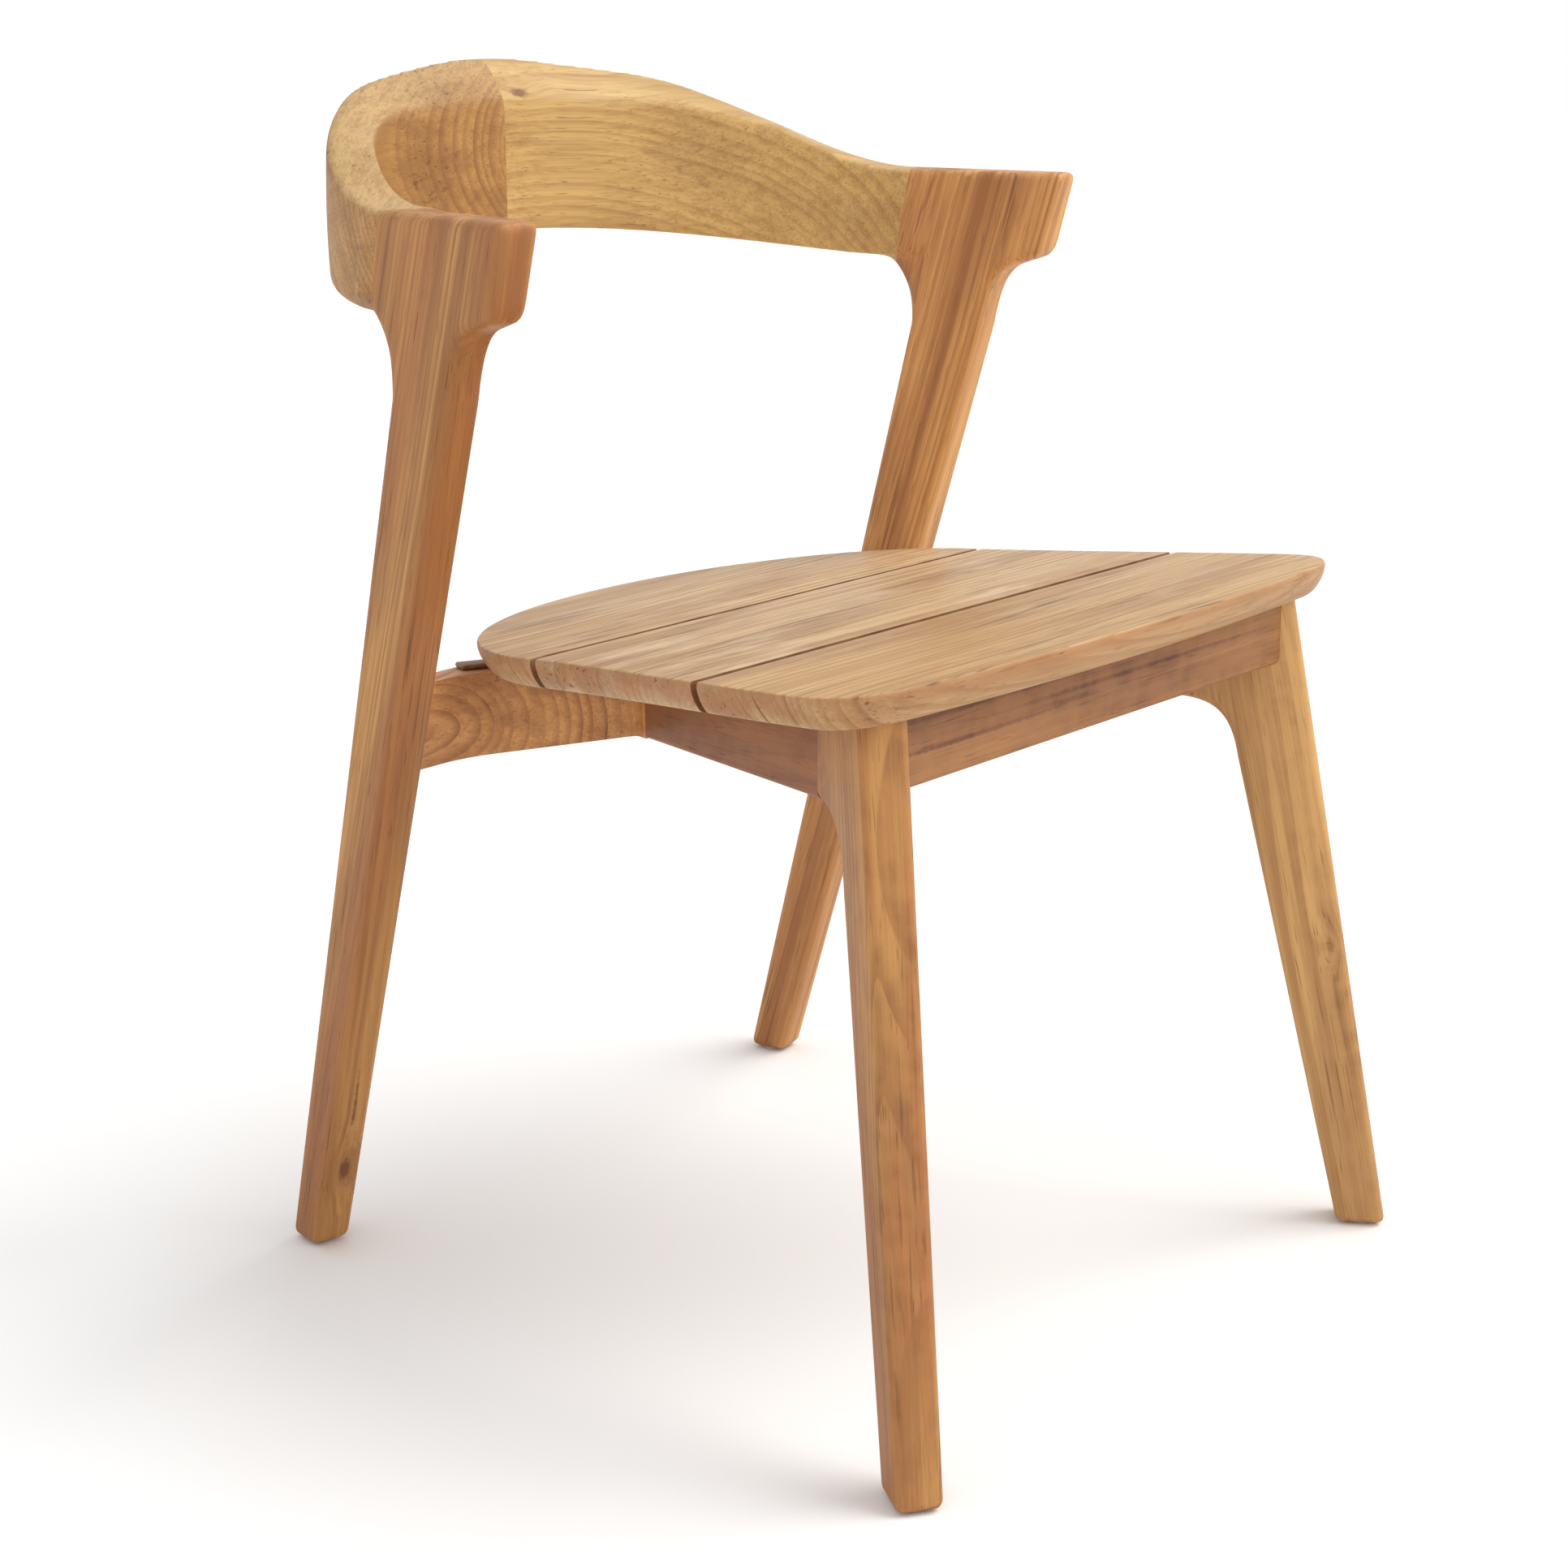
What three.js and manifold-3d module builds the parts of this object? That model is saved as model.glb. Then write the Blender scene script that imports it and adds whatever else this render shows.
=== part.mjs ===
// Dining chair in solid teak: a slatted, sloping seat on a rail frame, four raked
// legs, and a curved back whose two halves run into the T-shaped tops of the rear legs.
// Millimetres, +Z up. The front of the chair faces -Y, and it is symmetric about X = 0.
// Every piece is worked out for the right-hand (+X) side and mirrored for the left.

import * as THREE from 'three';
import { ConvexGeometry } from 'three/addons/geometries/ConvexGeometry.js';
import { mergeVertices } from 'three/addons/utils/BufferGeometryUtils.js';
import Module from 'manifold-3d';

const wasm = await Module();
wasm.setup();

const V = (x, y, z) => new THREE.Vector3(x, y, z);

// ---------- driving dimensions ----------

const GAP = 0.3;                       // clearance between pieces that touch
const DOWEL_CLEARANCE = 0.3;           // radial and end clearance of every bore
const WIDE = 3000;                     // reach of cutting blocks, beyond any piece

// seat
const SEAT_HEIGHT = 435.3;             // top of the seat above the floor at mid depth
const SEAT_SLOPE = 5.17;               // degrees, falling towards the back
const SEAT_THICKNESS = 20;
const SEAT_HALF_WIDTH_BACK = 221;      // where the straight sides meet the round back
const SEAT_HALF_WIDTH_FRONT = 252;
const SEAT_SIDE_END = 54;              // y where the round back begins
const SEAT_BACK_REACH = 160;           // how far the round back goes behind that
const SEAT_FRONT = 237;                // front edge, forward of the mid line
const SEAT_CORNER = 48;                // size of the round front corners
const SLAT_GAP = 5;
const SLAT_GAP_BACK = 54;              // y of the gap behind the middle slat
const SLAT_GAP_FRONT = -94;            // y of the gap in front of it
const NOSING_TOP = 3;                  // rounding of the seat's rim, above
const NOSING_FOOT = 14;                // and below

// frame under the seat
const RAIL_DEPTH = 58;                 // side and rear rails, below the seat's underside
const APRON_DEPTH = 42;
const APRON_THICKNESS = 22;
const APRON_FRONT = -207;
const SIDE_RAIL_THICKNESS = 24;
const SIDE_RAIL_END = { x: 90, y: 87 };  // outer corner where it meets the rear rail
const REAR_RAIL_FRONT = 160;
const REAR_RAIL_THICKNESS = 25;
const REAR_RAIL_DROP = 4;              // the rear rail's top lies this far under the seat
const REAR_RAIL_BEND = 180;            // x where its front face turns forward
const STUB_REACH = 34;                 // how far the stubs stand forward of the middle of the rear rail
const BEARER_WIDTH = 36;
const BEARER_DEPTH = 26;
const BEARER_X = 42;
const SPACER_WIDTH = 16;

// front legs: boards turned outwards, leaning along their own width
const FRONT_TURN = 34.2;               // degrees in plan
const FRONT_THICKNESS = 28;
const FRONT_OFFSET = 58.7;             // board's middle plane from the origin
const FRONT_FOOT_FACE = 369;           // distance forward of the front edge at the floor
const FRONT_RAKE = 0.186;              // shift of that edge per unit of height
const FRONT_FOOT_DEPTH = 32;
const FRONT_TOP_DEPTH = 51;            // just under the flare
const FRONT_FLARE_HEIGHT = 328;        // where the curve into the side rail starts
const FRONT_JOINT = 207;               // distance forward of the joint with the side rail

// rear legs: T-shaped boards
const REAR_TURN = 9.6;
const REAR_THICKNESS = 28;
const REAR_OFFSET = 274.5;
const REAR_LEAN = 0.0242;              // inward lean per unit of height
const REAR_FOOT_FRONT = -203;
const REAR_FOOT_DEPTH = 30;
const REAR_WAIST_HEIGHT = 583;
const REAR_WAIST_FRONT = -31;
const REAR_WAIST_DEPTH = 55.5;
const ARM_TOP = 690;
const ARM_TIP = 30;
const ARM_TIP_DEPTH = 54;              // height of the blunt front end of the arm
const ARM_JOINT = -94;                 // joint with the back, at the top
const ARM_JOINT_SLANT = 12;            // the joint runs this much further back at its foot
const ARM_JOINT_SKEW = 13;              // how far the joint's inner end lies ahead of its outer end
const ARM_JOINT_BLOCK = 400;            // cutting block behind the joint, clear of the feet
const ARM_SPARE = 40;                   // board left behind the joint before it is cut
const ARM_SWELL_SPARE = 60;
const ARM_DOWEL_DEPTHS = [17, 43];      // below the top of the arm
const RAIL_KNEE = 13;                   // from a side rail's end to the bend of the rear rail
const ARM_JOINT_WIDTH = 37;            // across the arm, at the joint
const ARM_SWELL_START = -63;           // where the inside of the arm starts to swell

// back
const BACK_REACH = 318;                // rearmost point of the crest
const BACK_CREST = 767;
const BACK_INNER_TOP = 735;
const BACK_HAND_MID = 138;             // pull of the plan curve at the middle
const BACK_HAND_ARM = 113;             // and at the arm
const CREST_DIP = 4;                   // the crest falls this much sooner beside the middle
const BACK_FOOT_MID = 652.5;
const BACK_FOOT_END = 629;
const BACK_THICKNESS_MID = 24;

// hardware
const DOWEL_RADIUS = 5;
const DOWEL_LENGTH = 34;
const ARM_DOWEL_RUN = V(-0.42, 0.9, 0.17);   // along the grain of arm and back
const SCREW_LENGTH = 36;
const GLIDE_RADIUS = 8;
const GLIDE_SHOW = 1.5;                // how far a glide stands below the leg
const GLIDE_HEIGHT = 4;
const EDGE = 4.5;                      // rounding along the legs' edges

// ---------- finishes ----------

const teak = (color) => new THREE.MeshStandardMaterial({ color, roughness: 0.55, metalness: 0 });
const FINISH = {
  leg: teak(0xc38b4e),
  rail: teak(0xb47c45),
  slat: teak(0xd0a06a),
  back: teak(0xc99655),
  hidden: teak(0xa9784a),
  dowel: new THREE.MeshStandardMaterial({ color: 0xd9b98a, roughness: 0.7, metalness: 0 }),
  steel: new THREE.MeshStandardMaterial({ color: 0xb8b8b4, roughness: 0.35, metalness: 1 }),
  glide: new THREE.MeshStandardMaterial({ color: 0xe6e3dc, roughness: 0.6, metalness: 0 }),
};

// ---------- helpers ----------

const chair = new THREE.Group();
const rad = THREE.MathUtils.degToRad;
const slope = Math.tan(rad(SEAT_SLOPE));

// a closed geometry as a solid
function solid(geometry) {
  const bare = geometry.clone();
  bare.deleteAttribute('normal');
  bare.deleteAttribute('uv');
  const merged = mergeVertices(bare, 1e-4);
  return new wasm.Manifold(new wasm.Mesh({
    numProp: 3,
    vertProperties: Float32Array.from(merged.attributes.position.array),
    triVerts: Uint32Array.from(merged.index.array),
  }));
}

function geometryOf(body) {
  const mesh = body.getMesh();
  const geometry = new THREE.BufferGeometry();
  geometry.setAttribute('position', new THREE.BufferAttribute(mesh.vertProperties, 3));
  geometry.setIndex(new THREE.BufferAttribute(mesh.triVerts, 1));
  return geometry;
}

// the same shape on the other side of X = 0
function mirrored(geometry) {
  const other = geometry.clone();
  other.applyMatrix4(new THREE.Matrix4().makeScale(-1, 1, 1));
  const index = other.index.array;
  for (let i = 0; i < index.length; i += 3) {
    [index[i], index[i + 1]] = [index[i + 1], index[i]];
  }
  return other;
}

function add(name, geometry, material) {
  geometry.computeVertexNormals();
  const mesh = new THREE.Mesh(geometry, material);
  mesh.name = name;
  chair.add(mesh);
}

function addPair(name, body, material) {
  const geometry = geometryOf(body);
  add(`${name}_right`, geometry, material);
  add(`${name}_left`, mirrored(geometry), material);
}

// moves a geometry built on its own X, Y, Z into a frame given by three axes and a place
function placed(geometry, x, y, z, at) {
  const matrix = new THREE.Matrix4().makeBasis(x, y, z).setPosition(at);
  return geometry.applyMatrix4(matrix);
}

const UP = V(0, 0, 1);

// outline drawn in plan, made into an upright prism that a layer then cuts to its height
function prism(outline) {
  const geometry = new THREE.ExtrudeGeometry(outline, {
    depth: 2 * SEAT_HEIGHT,
    bevelEnabled: false,
    curveSegments: 16,
  });
  return solid(geometry);
}

// a layer parallel to the seat, between two depths below the seat's top
function layer(upper, lower) {
  const thickness = lower - upper;
  const geometry = new THREE.BoxGeometry(WIDE, WIDE, thickness);
  geometry.translate(0, 0, -upper - thickness / 2);
  geometry.rotateX(-rad(SEAT_SLOPE));
  return solid(geometry.translate(0, 0, SEAT_HEIGHT));
}

// height of the seat's top at a given y
const seatTop = (y) => SEAT_HEIGHT - slope * y;

// ---------- boards ----------

// A leg is a board standing in its own upright plane. 'front' points along the board
// towards its front edge, 'out' away from the chair, and 'lift' up along the board.
function boardFrame(turn, offset, lean) {
  const t = rad(turn);
  const front = V(Math.sin(t), -Math.cos(t), 0);
  const out = V(Math.cos(t), Math.sin(t), 0);
  const point = (forward, height, across = 0) => out.clone()
    .multiplyScalar(offset - lean * height + across)
    .addScaledVector(front, forward)
    .addScaledVector(UP, height);
  return { front, out, lean, point };
}

// profile drawn in (forward, height), thickened either side of the board's middle plane
function board(frame, profile, thickness, edge) {
  const geometry = new THREE.ExtrudeGeometry(profile, {
    depth: thickness - 2 * edge,
    bevelEnabled: edge > 0,
    bevelThickness: edge,
    bevelSize: edge,
    bevelOffset: -edge,
    bevelSegments: 3,
    curveSegments: 10,
  });
  geometry.translate(0, 0, -(thickness / 2 - edge));
  const lift = UP.clone().addScaledVector(frame.out, -frame.lean);
  return placed(geometry, frame.front, lift, frame.out.clone().negate(), frame.point(0, 0));
}

// everything on the inner side of a board, from 'clear' away from its face
function insideOf(frame, thickness, clear) {
  const size = WIDE;
  const geometry = new THREE.BoxGeometry(size, size, size);
  const lift = UP.clone().addScaledVector(frame.out, -frame.lean);
  const centre = frame.point(0, 0, -thickness / 2 - clear - size / 2);
  return solid(placed(geometry, frame.front, lift, frame.out.clone().negate(), centre));
}

// ---------- dowels, tenons and screws ----------

function rod(radius, length, at, axis, sides = 12) {
  const geometry = new THREE.CylinderGeometry(radius, radius, length, sides);
  const turn = new THREE.Quaternion().setFromUnitVectors(V(0, 1, 0), axis.clone().normalize());
  return solid(geometry.applyQuaternion(turn).translate(at.x, at.y, at.z));
}

function block(width, depth, height, at, axis) {
  const geometry = new THREE.BoxGeometry(width, depth, height);
  const turn = new THREE.Quaternion().setFromUnitVectors(V(1, 0, 0), axis.clone().normalize());
  return solid(geometry.applyQuaternion(turn).translate(at.x, at.y, at.z));
}

const dowelAt = (at, axis) => rod(DOWEL_RADIUS, DOWEL_LENGTH, at, axis);
const boreAt = (at, axis) => rod(
  DOWEL_RADIUS + DOWEL_CLEARANCE,
  DOWEL_LENGTH + 2 * DOWEL_CLEARANCE,
  at,
  axis,
);

// countersunk wood screw pointing up along 'axis', its head's flat face at 'at'
function screwGeometry(at, axis, clearance) {
  const c = clearance;
  const outline = [
    [0, -c], [4.2 + c, -c], [2 + c, 3], [2 + c, SCREW_LENGTH - 6],
    [0.4 + c, SCREW_LENGTH + c], [0, SCREW_LENGTH + c],
  ].map(([r, h]) => new THREE.Vector2(r, h));
  const geometry = new THREE.LatheGeometry(outline, 12);
  const turn = new THREE.Quaternion().setFromUnitVectors(V(0, 1, 0), axis.clone().normalize());
  return geometry.applyQuaternion(turn).translate(at.x, at.y, at.z);
}

// ---------- front legs ----------

const frontFrame = boardFrame(FRONT_TURN, FRONT_OFFSET, 0);
const underSeat = layer(SEAT_THICKNESS + GAP, 2 * SEAT_HEIGHT);   // all that lies below the seat
const frontEdge = (z) => FRONT_FOOT_FACE - FRONT_RAKE * z;
const railFootAt = (y) => seatTop(y) - (SEAT_THICKNESS + RAIL_DEPTH) / Math.cos(rad(SEAT_SLOPE));

function frontLegProfile() {
  const jointFoot = railFootAt(frontFrame.point(FRONT_JOINT, 0, FRONT_THICKNESS / 2).y);
  const flare = frontEdge(FRONT_FLARE_HEIGHT) - FRONT_TOP_DEPTH;
  const high = 1.1 * SEAT_HEIGHT;      // cut back to the seat afterwards
  const profile = new THREE.Shape();
  profile.moveTo(frontEdge(GLIDE_SHOW) - FRONT_FOOT_DEPTH, GLIDE_SHOW);
  profile.lineTo(frontEdge(GLIDE_SHOW), GLIDE_SHOW);
  profile.lineTo(frontEdge(high), high);
  profile.lineTo(FRONT_JOINT, high);
  profile.lineTo(FRONT_JOINT, jointFoot);
  profile.bezierCurveTo(FRONT_JOINT + 30, jointFoot, flare - 6, jointFoot - 8, flare, FRONT_FLARE_HEIGHT);
  return profile;
}

let frontLeg = solid(board(frontFrame, frontLegProfile(), FRONT_THICKNESS, EDGE)).intersect(underSeat);

// ---------- side rails ----------

const railLayer = layer(SEAT_THICKNESS + GAP, SEAT_THICKNESS + RAIL_DEPTH);
const jointOut = frontFrame.point(FRONT_JOINT - GAP, 0, FRONT_THICKNESS / 2);
const jointIn = frontFrame.point(FRONT_JOINT - GAP, 0, -FRONT_THICKNESS / 2);
const railEnd = V(SIDE_RAIL_END.x, SIDE_RAIL_END.y, 0);
const railRun = railEnd.clone().sub(jointOut).setZ(0).normalize();
const railIn = V(-railRun.y, railRun.x, 0);
const railEndIn = railEnd.clone().addScaledVector(railIn, SIDE_RAIL_THICKNESS);

function planShape(points) {
  return new THREE.Shape(points.map((p) => new THREE.Vector2(p.x, p.y)));
}

let sideRail = prism(planShape([jointOut, railEnd, railEndIn, jointIn])).intersect(railLayer);

// ---------- rear legs ----------

const rearFrame = boardFrame(REAR_TURN, REAR_OFFSET, REAR_LEAN);

function rearLegProfile() {
  const tipFoot = ARM_TOP - ARM_TIP_DEPTH;
  const waistBack = REAR_WAIST_FRONT - REAR_WAIST_DEPTH;
  const profile = new THREE.Shape();
  profile.moveTo(REAR_FOOT_FRONT - REAR_FOOT_DEPTH, GLIDE_SHOW);
  profile.lineTo(REAR_FOOT_FRONT, GLIDE_SHOW);
  profile.lineTo(REAR_WAIST_FRONT, REAR_WAIST_HEIGHT);
  profile.bezierCurveTo(-26, 602, -21, 622, -8, 627);
  profile.lineTo(ARM_TIP - 20, tipFoot - 3);
  profile.quadraticCurveTo(ARM_TIP - 15, tipFoot, ARM_TIP - 13, tipFoot + 9);
  profile.lineTo(ARM_TIP, ARM_TOP);
  profile.lineTo(ARM_JOINT - ARM_SPARE, ARM_TOP);
  profile.lineTo(ARM_JOINT - ARM_SPARE - ARM_JOINT_SLANT, BACK_FOOT_END);
  profile.lineTo(ARM_JOINT - ARM_JOINT_SLANT, BACK_FOOT_END);
  profile.bezierCurveTo(-92, 614, waistBack, 604, waistBack, REAR_WAIST_HEIGHT);
  return profile;
}

// wedge on the arm's inner face that thickens it towards the joint with the back
function armSwell() {
  const face = -REAR_THICKNESS / 2;
  const past = ARM_JOINT - ARM_SWELL_SPARE;
  const deep = REAR_THICKNESS / 2 - ARM_JOINT_WIDTH;
  const slant = (face - deep) / (ARM_SWELL_START - ARM_JOINT);
  const heights = [BACK_FOOT_END, ARM_TOP];
  const points = heights.flatMap((z) => [
    rearFrame.point(ARM_SWELL_START, z, face),
    rearFrame.point(ARM_SWELL_START, z, 0),
    rearFrame.point(past, z, 0),
    rearFrame.point(past, z, face - slant * (ARM_SWELL_START - past)),
  ]);
  const low = REAR_WAIST_HEIGHT;
  points.push(rearFrame.point(ARM_SWELL_START, low, 0), rearFrame.point(past, low, 0));
  return solid(new ConvexGeometry(points));
}

// half-space behind the joint between arm and back; 'clear' shifts it rearwards
function behindJoint(clear) {
  const top = rearFrame.point(ARM_JOINT, ARM_TOP, REAR_THICKNESS / 2);
  const foot = rearFrame.point(ARM_JOINT - ARM_JOINT_SLANT, BACK_FOOT_END, REAR_THICKNESS / 2);
  const inner = rearFrame.point(ARM_JOINT + ARM_JOINT_SKEW, ARM_TOP, REAR_THICKNESS / 2 - ARM_JOINT_WIDTH);
  const rise = top.clone().sub(foot).normalize();
  const across = inner.clone().sub(top).normalize();
  const back = across.clone().cross(rise).normalize();
  if (back.y < 0) {
    back.negate();
  }
  const side = rise.clone().cross(back).normalize();
  const centre = top.clone().addScaledVector(back, ARM_JOINT_BLOCK / 2 + clear);
  const block = new THREE.BoxGeometry(ARM_JOINT_BLOCK, ARM_JOINT_BLOCK, ARM_JOINT_BLOCK);
  return solid(placed(block, side, rise, back, centre));
}

const rearBoard = solid(board(rearFrame, rearLegProfile(), REAR_THICKNESS, EDGE));
const armBlock = solid(board(rearFrame, rearLegProfile(), 3 * ARM_JOINT_WIDTH, EDGE))
  .intersect(armSwell());
let rearLeg = rearBoard.add(armBlock).subtract(behindJoint(-GAP / 2));

// ---------- back ----------

// plan curve of the outer face, from the middle of the back to the arm
const armMeet = rearFrame.point(ARM_JOINT, ARM_TOP, REAR_THICKNESS / 2);
const armRun = rearFrame.front.clone().negate();
const backCurve = new THREE.CubicBezierCurve(
  new THREE.Vector2(0, BACK_REACH),
  new THREE.Vector2(BACK_HAND_MID, BACK_REACH),
  new THREE.Vector2(armMeet.x + armRun.x * BACK_HAND_ARM, armMeet.y + armRun.y * BACK_HAND_ARM),
  new THREE.Vector2(armMeet.x, armMeet.y),
);

// Section of the back at a share q of the way from the middle (0) to the arm (1), as
// [distance in from the outer face, height]. The top slopes forward in the middle and
// is level at the arm.
function backSection(q) {
  const bell = Math.cos((Math.PI / 2) * q ** 1.4) ** 2;
  const dip = CREST_DIP * Math.sin(2 * Math.PI * Math.min(q, 0.5)) ** 2;
  const crest = ARM_TOP + (BACK_CREST - ARM_TOP) * bell - dip;
  const fall = (BACK_CREST - BACK_INNER_TOP) * Math.max(0, 1 - (q / 0.66) ** 1.6);
  const innerTop = crest - Math.max(fall, 0.5);
  const foot = BACK_FOOT_END + (BACK_FOOT_MID - BACK_FOOT_END) * Math.cos((Math.PI / 2) * q) ** 1.7;
  const width = BACK_THICKNESS_MID + (ARM_JOINT_WIDTH - BACK_THICKNESS_MID) * q ** 1.5;
  const mid = (crest + innerTop) / 2;
  return [
    [3.5, foot], [width - 3.5, foot], [width, foot + 4], [width, innerTop - 4],
    [width - 2, innerTop - 0.6], [width * 0.62, mid + 0.5], [6.5, crest - 0.2],
    [3, crest - 1], [0.6, crest - 4.5], [0, crest - 9], [-1, (crest + foot) / 2], [0, foot + 8],
    [1, foot + 3],
  ];
}

function backHalfGeometry() {
  const steps = 30;
  const overrun = 1.12;                // carried past the joint, then cut back to it
  const rings = [];
  for (let i = 0; i <= steps; i += 1) {
    const q = (i / steps) * overrun;
    const u = Math.min(q, 1);
    const at = backCurve.getPointAt(u);
    const run = backCurve.getTangentAt(u);
    const extra = (q - u) * backCurve.getLength();
    at.addScaledVector(run, extra);
    const inwards = new THREE.Vector2(run.y, -run.x);
    rings.push(backSection(u).map(([d, z]) => [at.x + inwards.x * d, at.y + inwards.y * d, z]));
  }
  const count = rings[0].length;
  const position = rings.flat(2);
  const index = [];
  for (let i = 0; i < steps; i += 1) {
    for (let j = 0; j < count; j += 1) {
      const a = i * count + j;
      const b = i * count + ((j + 1) % count);
      index.push(a, a + count, b, b, a + count, b + count);
    }
  }
  const section = backSection(0).map(([d, z]) => new THREE.Vector2(d, z));
  const cap = THREE.ShapeUtils.triangulateShape(section, []);
  const end = steps * count;
  cap.forEach(([a, b, c]) => index.push(a, b, c));
  const endSection = backSection(1).map(([d, z]) => new THREE.Vector2(d, z));
  THREE.ShapeUtils.triangulateShape(endSection, []).forEach(([a, b, c]) => {
    index.push(end + a, end + c, end + b);
  });
  const geometry = new THREE.BufferGeometry();
  geometry.setAttribute('position', new THREE.Float32BufferAttribute(position, 3));
  geometry.setIndex(index);
  return geometry;
}

const midGap = solid(new THREE.BoxGeometry(GAP, WIDE, WIDE));
let backHalf = solid(backHalfGeometry())
  .intersect(behindJoint(GAP / 2))
  .subtract(midGap);

// ---------- rear rail ----------

// Its back is straight; its front turns forward to a stub on each side that takes the
// end of a side rail.
function rearRailPlan() {
  const back = REAR_RAIL_FRONT + REAR_RAIL_THICKNESS;
  const reach = SEAT_HALF_WIDTH_FRONT;
  const tip = railEnd.clone().addScaledVector(railRun, GAP);
  const tipIn = railEndIn.clone().addScaledVector(railRun, GAP);
  const knee = tip.clone().addScaledVector(railRun, RAIL_KNEE);
  const right = [
    [tipIn.x - 3, tipIn.y + STUB_REACH], [tipIn.x, tipIn.y], [tip.x, tip.y],
    [knee.x + 0.5, knee.y - 1], [knee.x + 8, knee.y + 6],
    [REAR_RAIL_BEND - 6, REAR_RAIL_FRONT - 3], [REAR_RAIL_BEND + 8, REAR_RAIL_FRONT],
    [reach, REAR_RAIL_FRONT], [reach, back],
  ];
  const left = right.map(([x, y]) => [-x, y]).reverse();
  return new THREE.Shape([...right, ...left].map(([x, y]) => new THREE.Vector2(x, y)));
}

const rearRailLayer = layer(SEAT_THICKNESS + REAR_RAIL_DROP, SEAT_THICKNESS + RAIL_DEPTH);
const mirrorBody = (body) => solid(mirrored(geometryOf(body)));
const betweenRearLegs = insideOf(rearFrame, REAR_THICKNESS, GAP);
let rearRail = prism(rearRailPlan())
  .intersect(rearRailLayer)
  .intersect(betweenRearLegs)
  .intersect(mirrorBody(betweenRearLegs));

// ---------- apron ----------

const apronLayer = layer(SEAT_THICKNESS + GAP, SEAT_THICKNESS + APRON_DEPTH);
const betweenFrontLegs = insideOf(frontFrame, FRONT_THICKNESS, GAP);
const apronBlank = new THREE.BoxGeometry(WIDE, APRON_THICKNESS, SEAT_HEIGHT);
apronBlank.translate(0, APRON_FRONT + APRON_THICKNESS / 2, SEAT_HEIGHT);
let apron = solid(apronBlank)
  .intersect(apronLayer)
  .intersect(betweenFrontLegs)
  .intersect(mirrorBody(betweenFrontLegs));

// ---------- mortise and tenon joints: apron and rear rail into the legs ----------

const TENON = { thickness: 10, height: 26, length: 17 };

// Adds a tenon to both ends of a rail and cuts the mortise in the right-hand leg. 'at'
// lies on that leg's inner face.
function tenonJoint(rail, leg, at) {
  const clear = 2 * GAP;
  const { thickness, height, length } = TENON;
  const reach = 2 * length;
  const along = V(1, 0, 0);
  const tongue = block(reach, thickness, height, at, along);
  const slot = block(reach + clear, thickness + clear, height + clear, at, along);
  return [rail.add(tongue).add(mirrorBody(tongue)), leg.subtract(slot)];
}

const railMid = (y, drop, depth) => seatTop(y) - SEAT_THICKNESS - (drop + depth) / 2;

// point on a leg board's inner face at a given y and z
function faceAtY(frame, thickness, y, z) {
  const inner = -thickness / 2;
  const start = frame.point(0, z, inner);
  return frame.point((start.y - y) / -frame.front.y, z, inner);
}

const apronMid = APRON_FRONT + APRON_THICKNESS / 2;
const apronFace = faceAtY(frontFrame, FRONT_THICKNESS, apronMid, railMid(apronMid, 0, APRON_DEPTH));
[apron, frontLeg] = tenonJoint(apron, frontLeg, apronFace);

const rearMid = REAR_RAIL_FRONT + REAR_RAIL_THICKNESS / 2;
const rearFace = faceAtY(rearFrame, REAR_THICKNESS, rearMid,
  railMid(rearMid, REAR_RAIL_DROP, RAIL_DEPTH));
[rearRail, rearLeg] = tenonJoint(rearRail, rearLeg, rearFace);

// ---------- seat bearers: two boards from apron to rear rail that the slats screw to ----------

const bearerFront = APRON_FRONT + APRON_THICKNESS + GAP;
const bearerBack = railEndIn.y + STUB_REACH - GAP;
const bearerLength = bearerBack - bearerFront;
const bearerMid = (bearerBack + bearerFront) / 2;
const bearerBlank = new THREE.BoxGeometry(BEARER_WIDTH, bearerLength, SEAT_HEIGHT);
let bearer = solid(bearerBlank.translate(BEARER_X, bearerMid, SEAT_HEIGHT))
  .intersect(layer(SEAT_THICKNESS + GAP, SEAT_THICKNESS + BEARER_DEPTH));

// ---------- dowelled joints ----------

const dowels = [];
function dowelJoint(name, first, second, places, axis) {
  places.forEach((at, i) => dowels.push([`${name}_${i + 1}`, dowelAt(at, axis)]));
  const bores = places.map((at) => boreAt(at, axis));
  return [first, second].map((body) => bores.reduce((left, bore) => left.subtract(bore), body));
}

const railHeights = (y) => [0.3, 0.7].map((share) => seatTop(y) - SEAT_THICKNESS - RAIL_DEPTH * share);
const jointMid = jointOut.clone().add(jointIn).multiplyScalar(0.5);
const frontDowels = railHeights(jointMid.y).map((z) => V(jointMid.x, jointMid.y, z));
[sideRail, frontLeg] = dowelJoint('side_rail_front_dowel', sideRail, frontLeg, frontDowels,
  frontFrame.front);

const stubMid = railEnd.clone().add(railEndIn).multiplyScalar(0.5);
const stubDowels = railHeights(stubMid.y).map((z) => V(stubMid.x, stubMid.y, z));
[sideRail, rearRail] = dowelJoint('side_rail_rear_dowel', sideRail, rearRail, stubDowels, railRun);
stubDowels.forEach((at) => {
  rearRail = rearRail.subtract(mirrorBody(boreAt(at, railRun)));
});

const armAt = (height, share) => rearFrame.point(
  ARM_JOINT - ARM_JOINT_SLANT * share + 5,
  height,
  REAR_THICKNESS / 2 - ARM_JOINT_WIDTH * 0.48,
);
const armDowels = [
  armAt(ARM_TOP - ARM_DOWEL_DEPTHS[0], 0.27),
  armAt(ARM_TOP - ARM_DOWEL_DEPTHS[1], 0.7),
];
[backHalf, rearLeg] = dowelJoint('back_arm_dowel', backHalf, rearLeg, armDowels,
  ARM_DOWEL_RUN);

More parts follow.
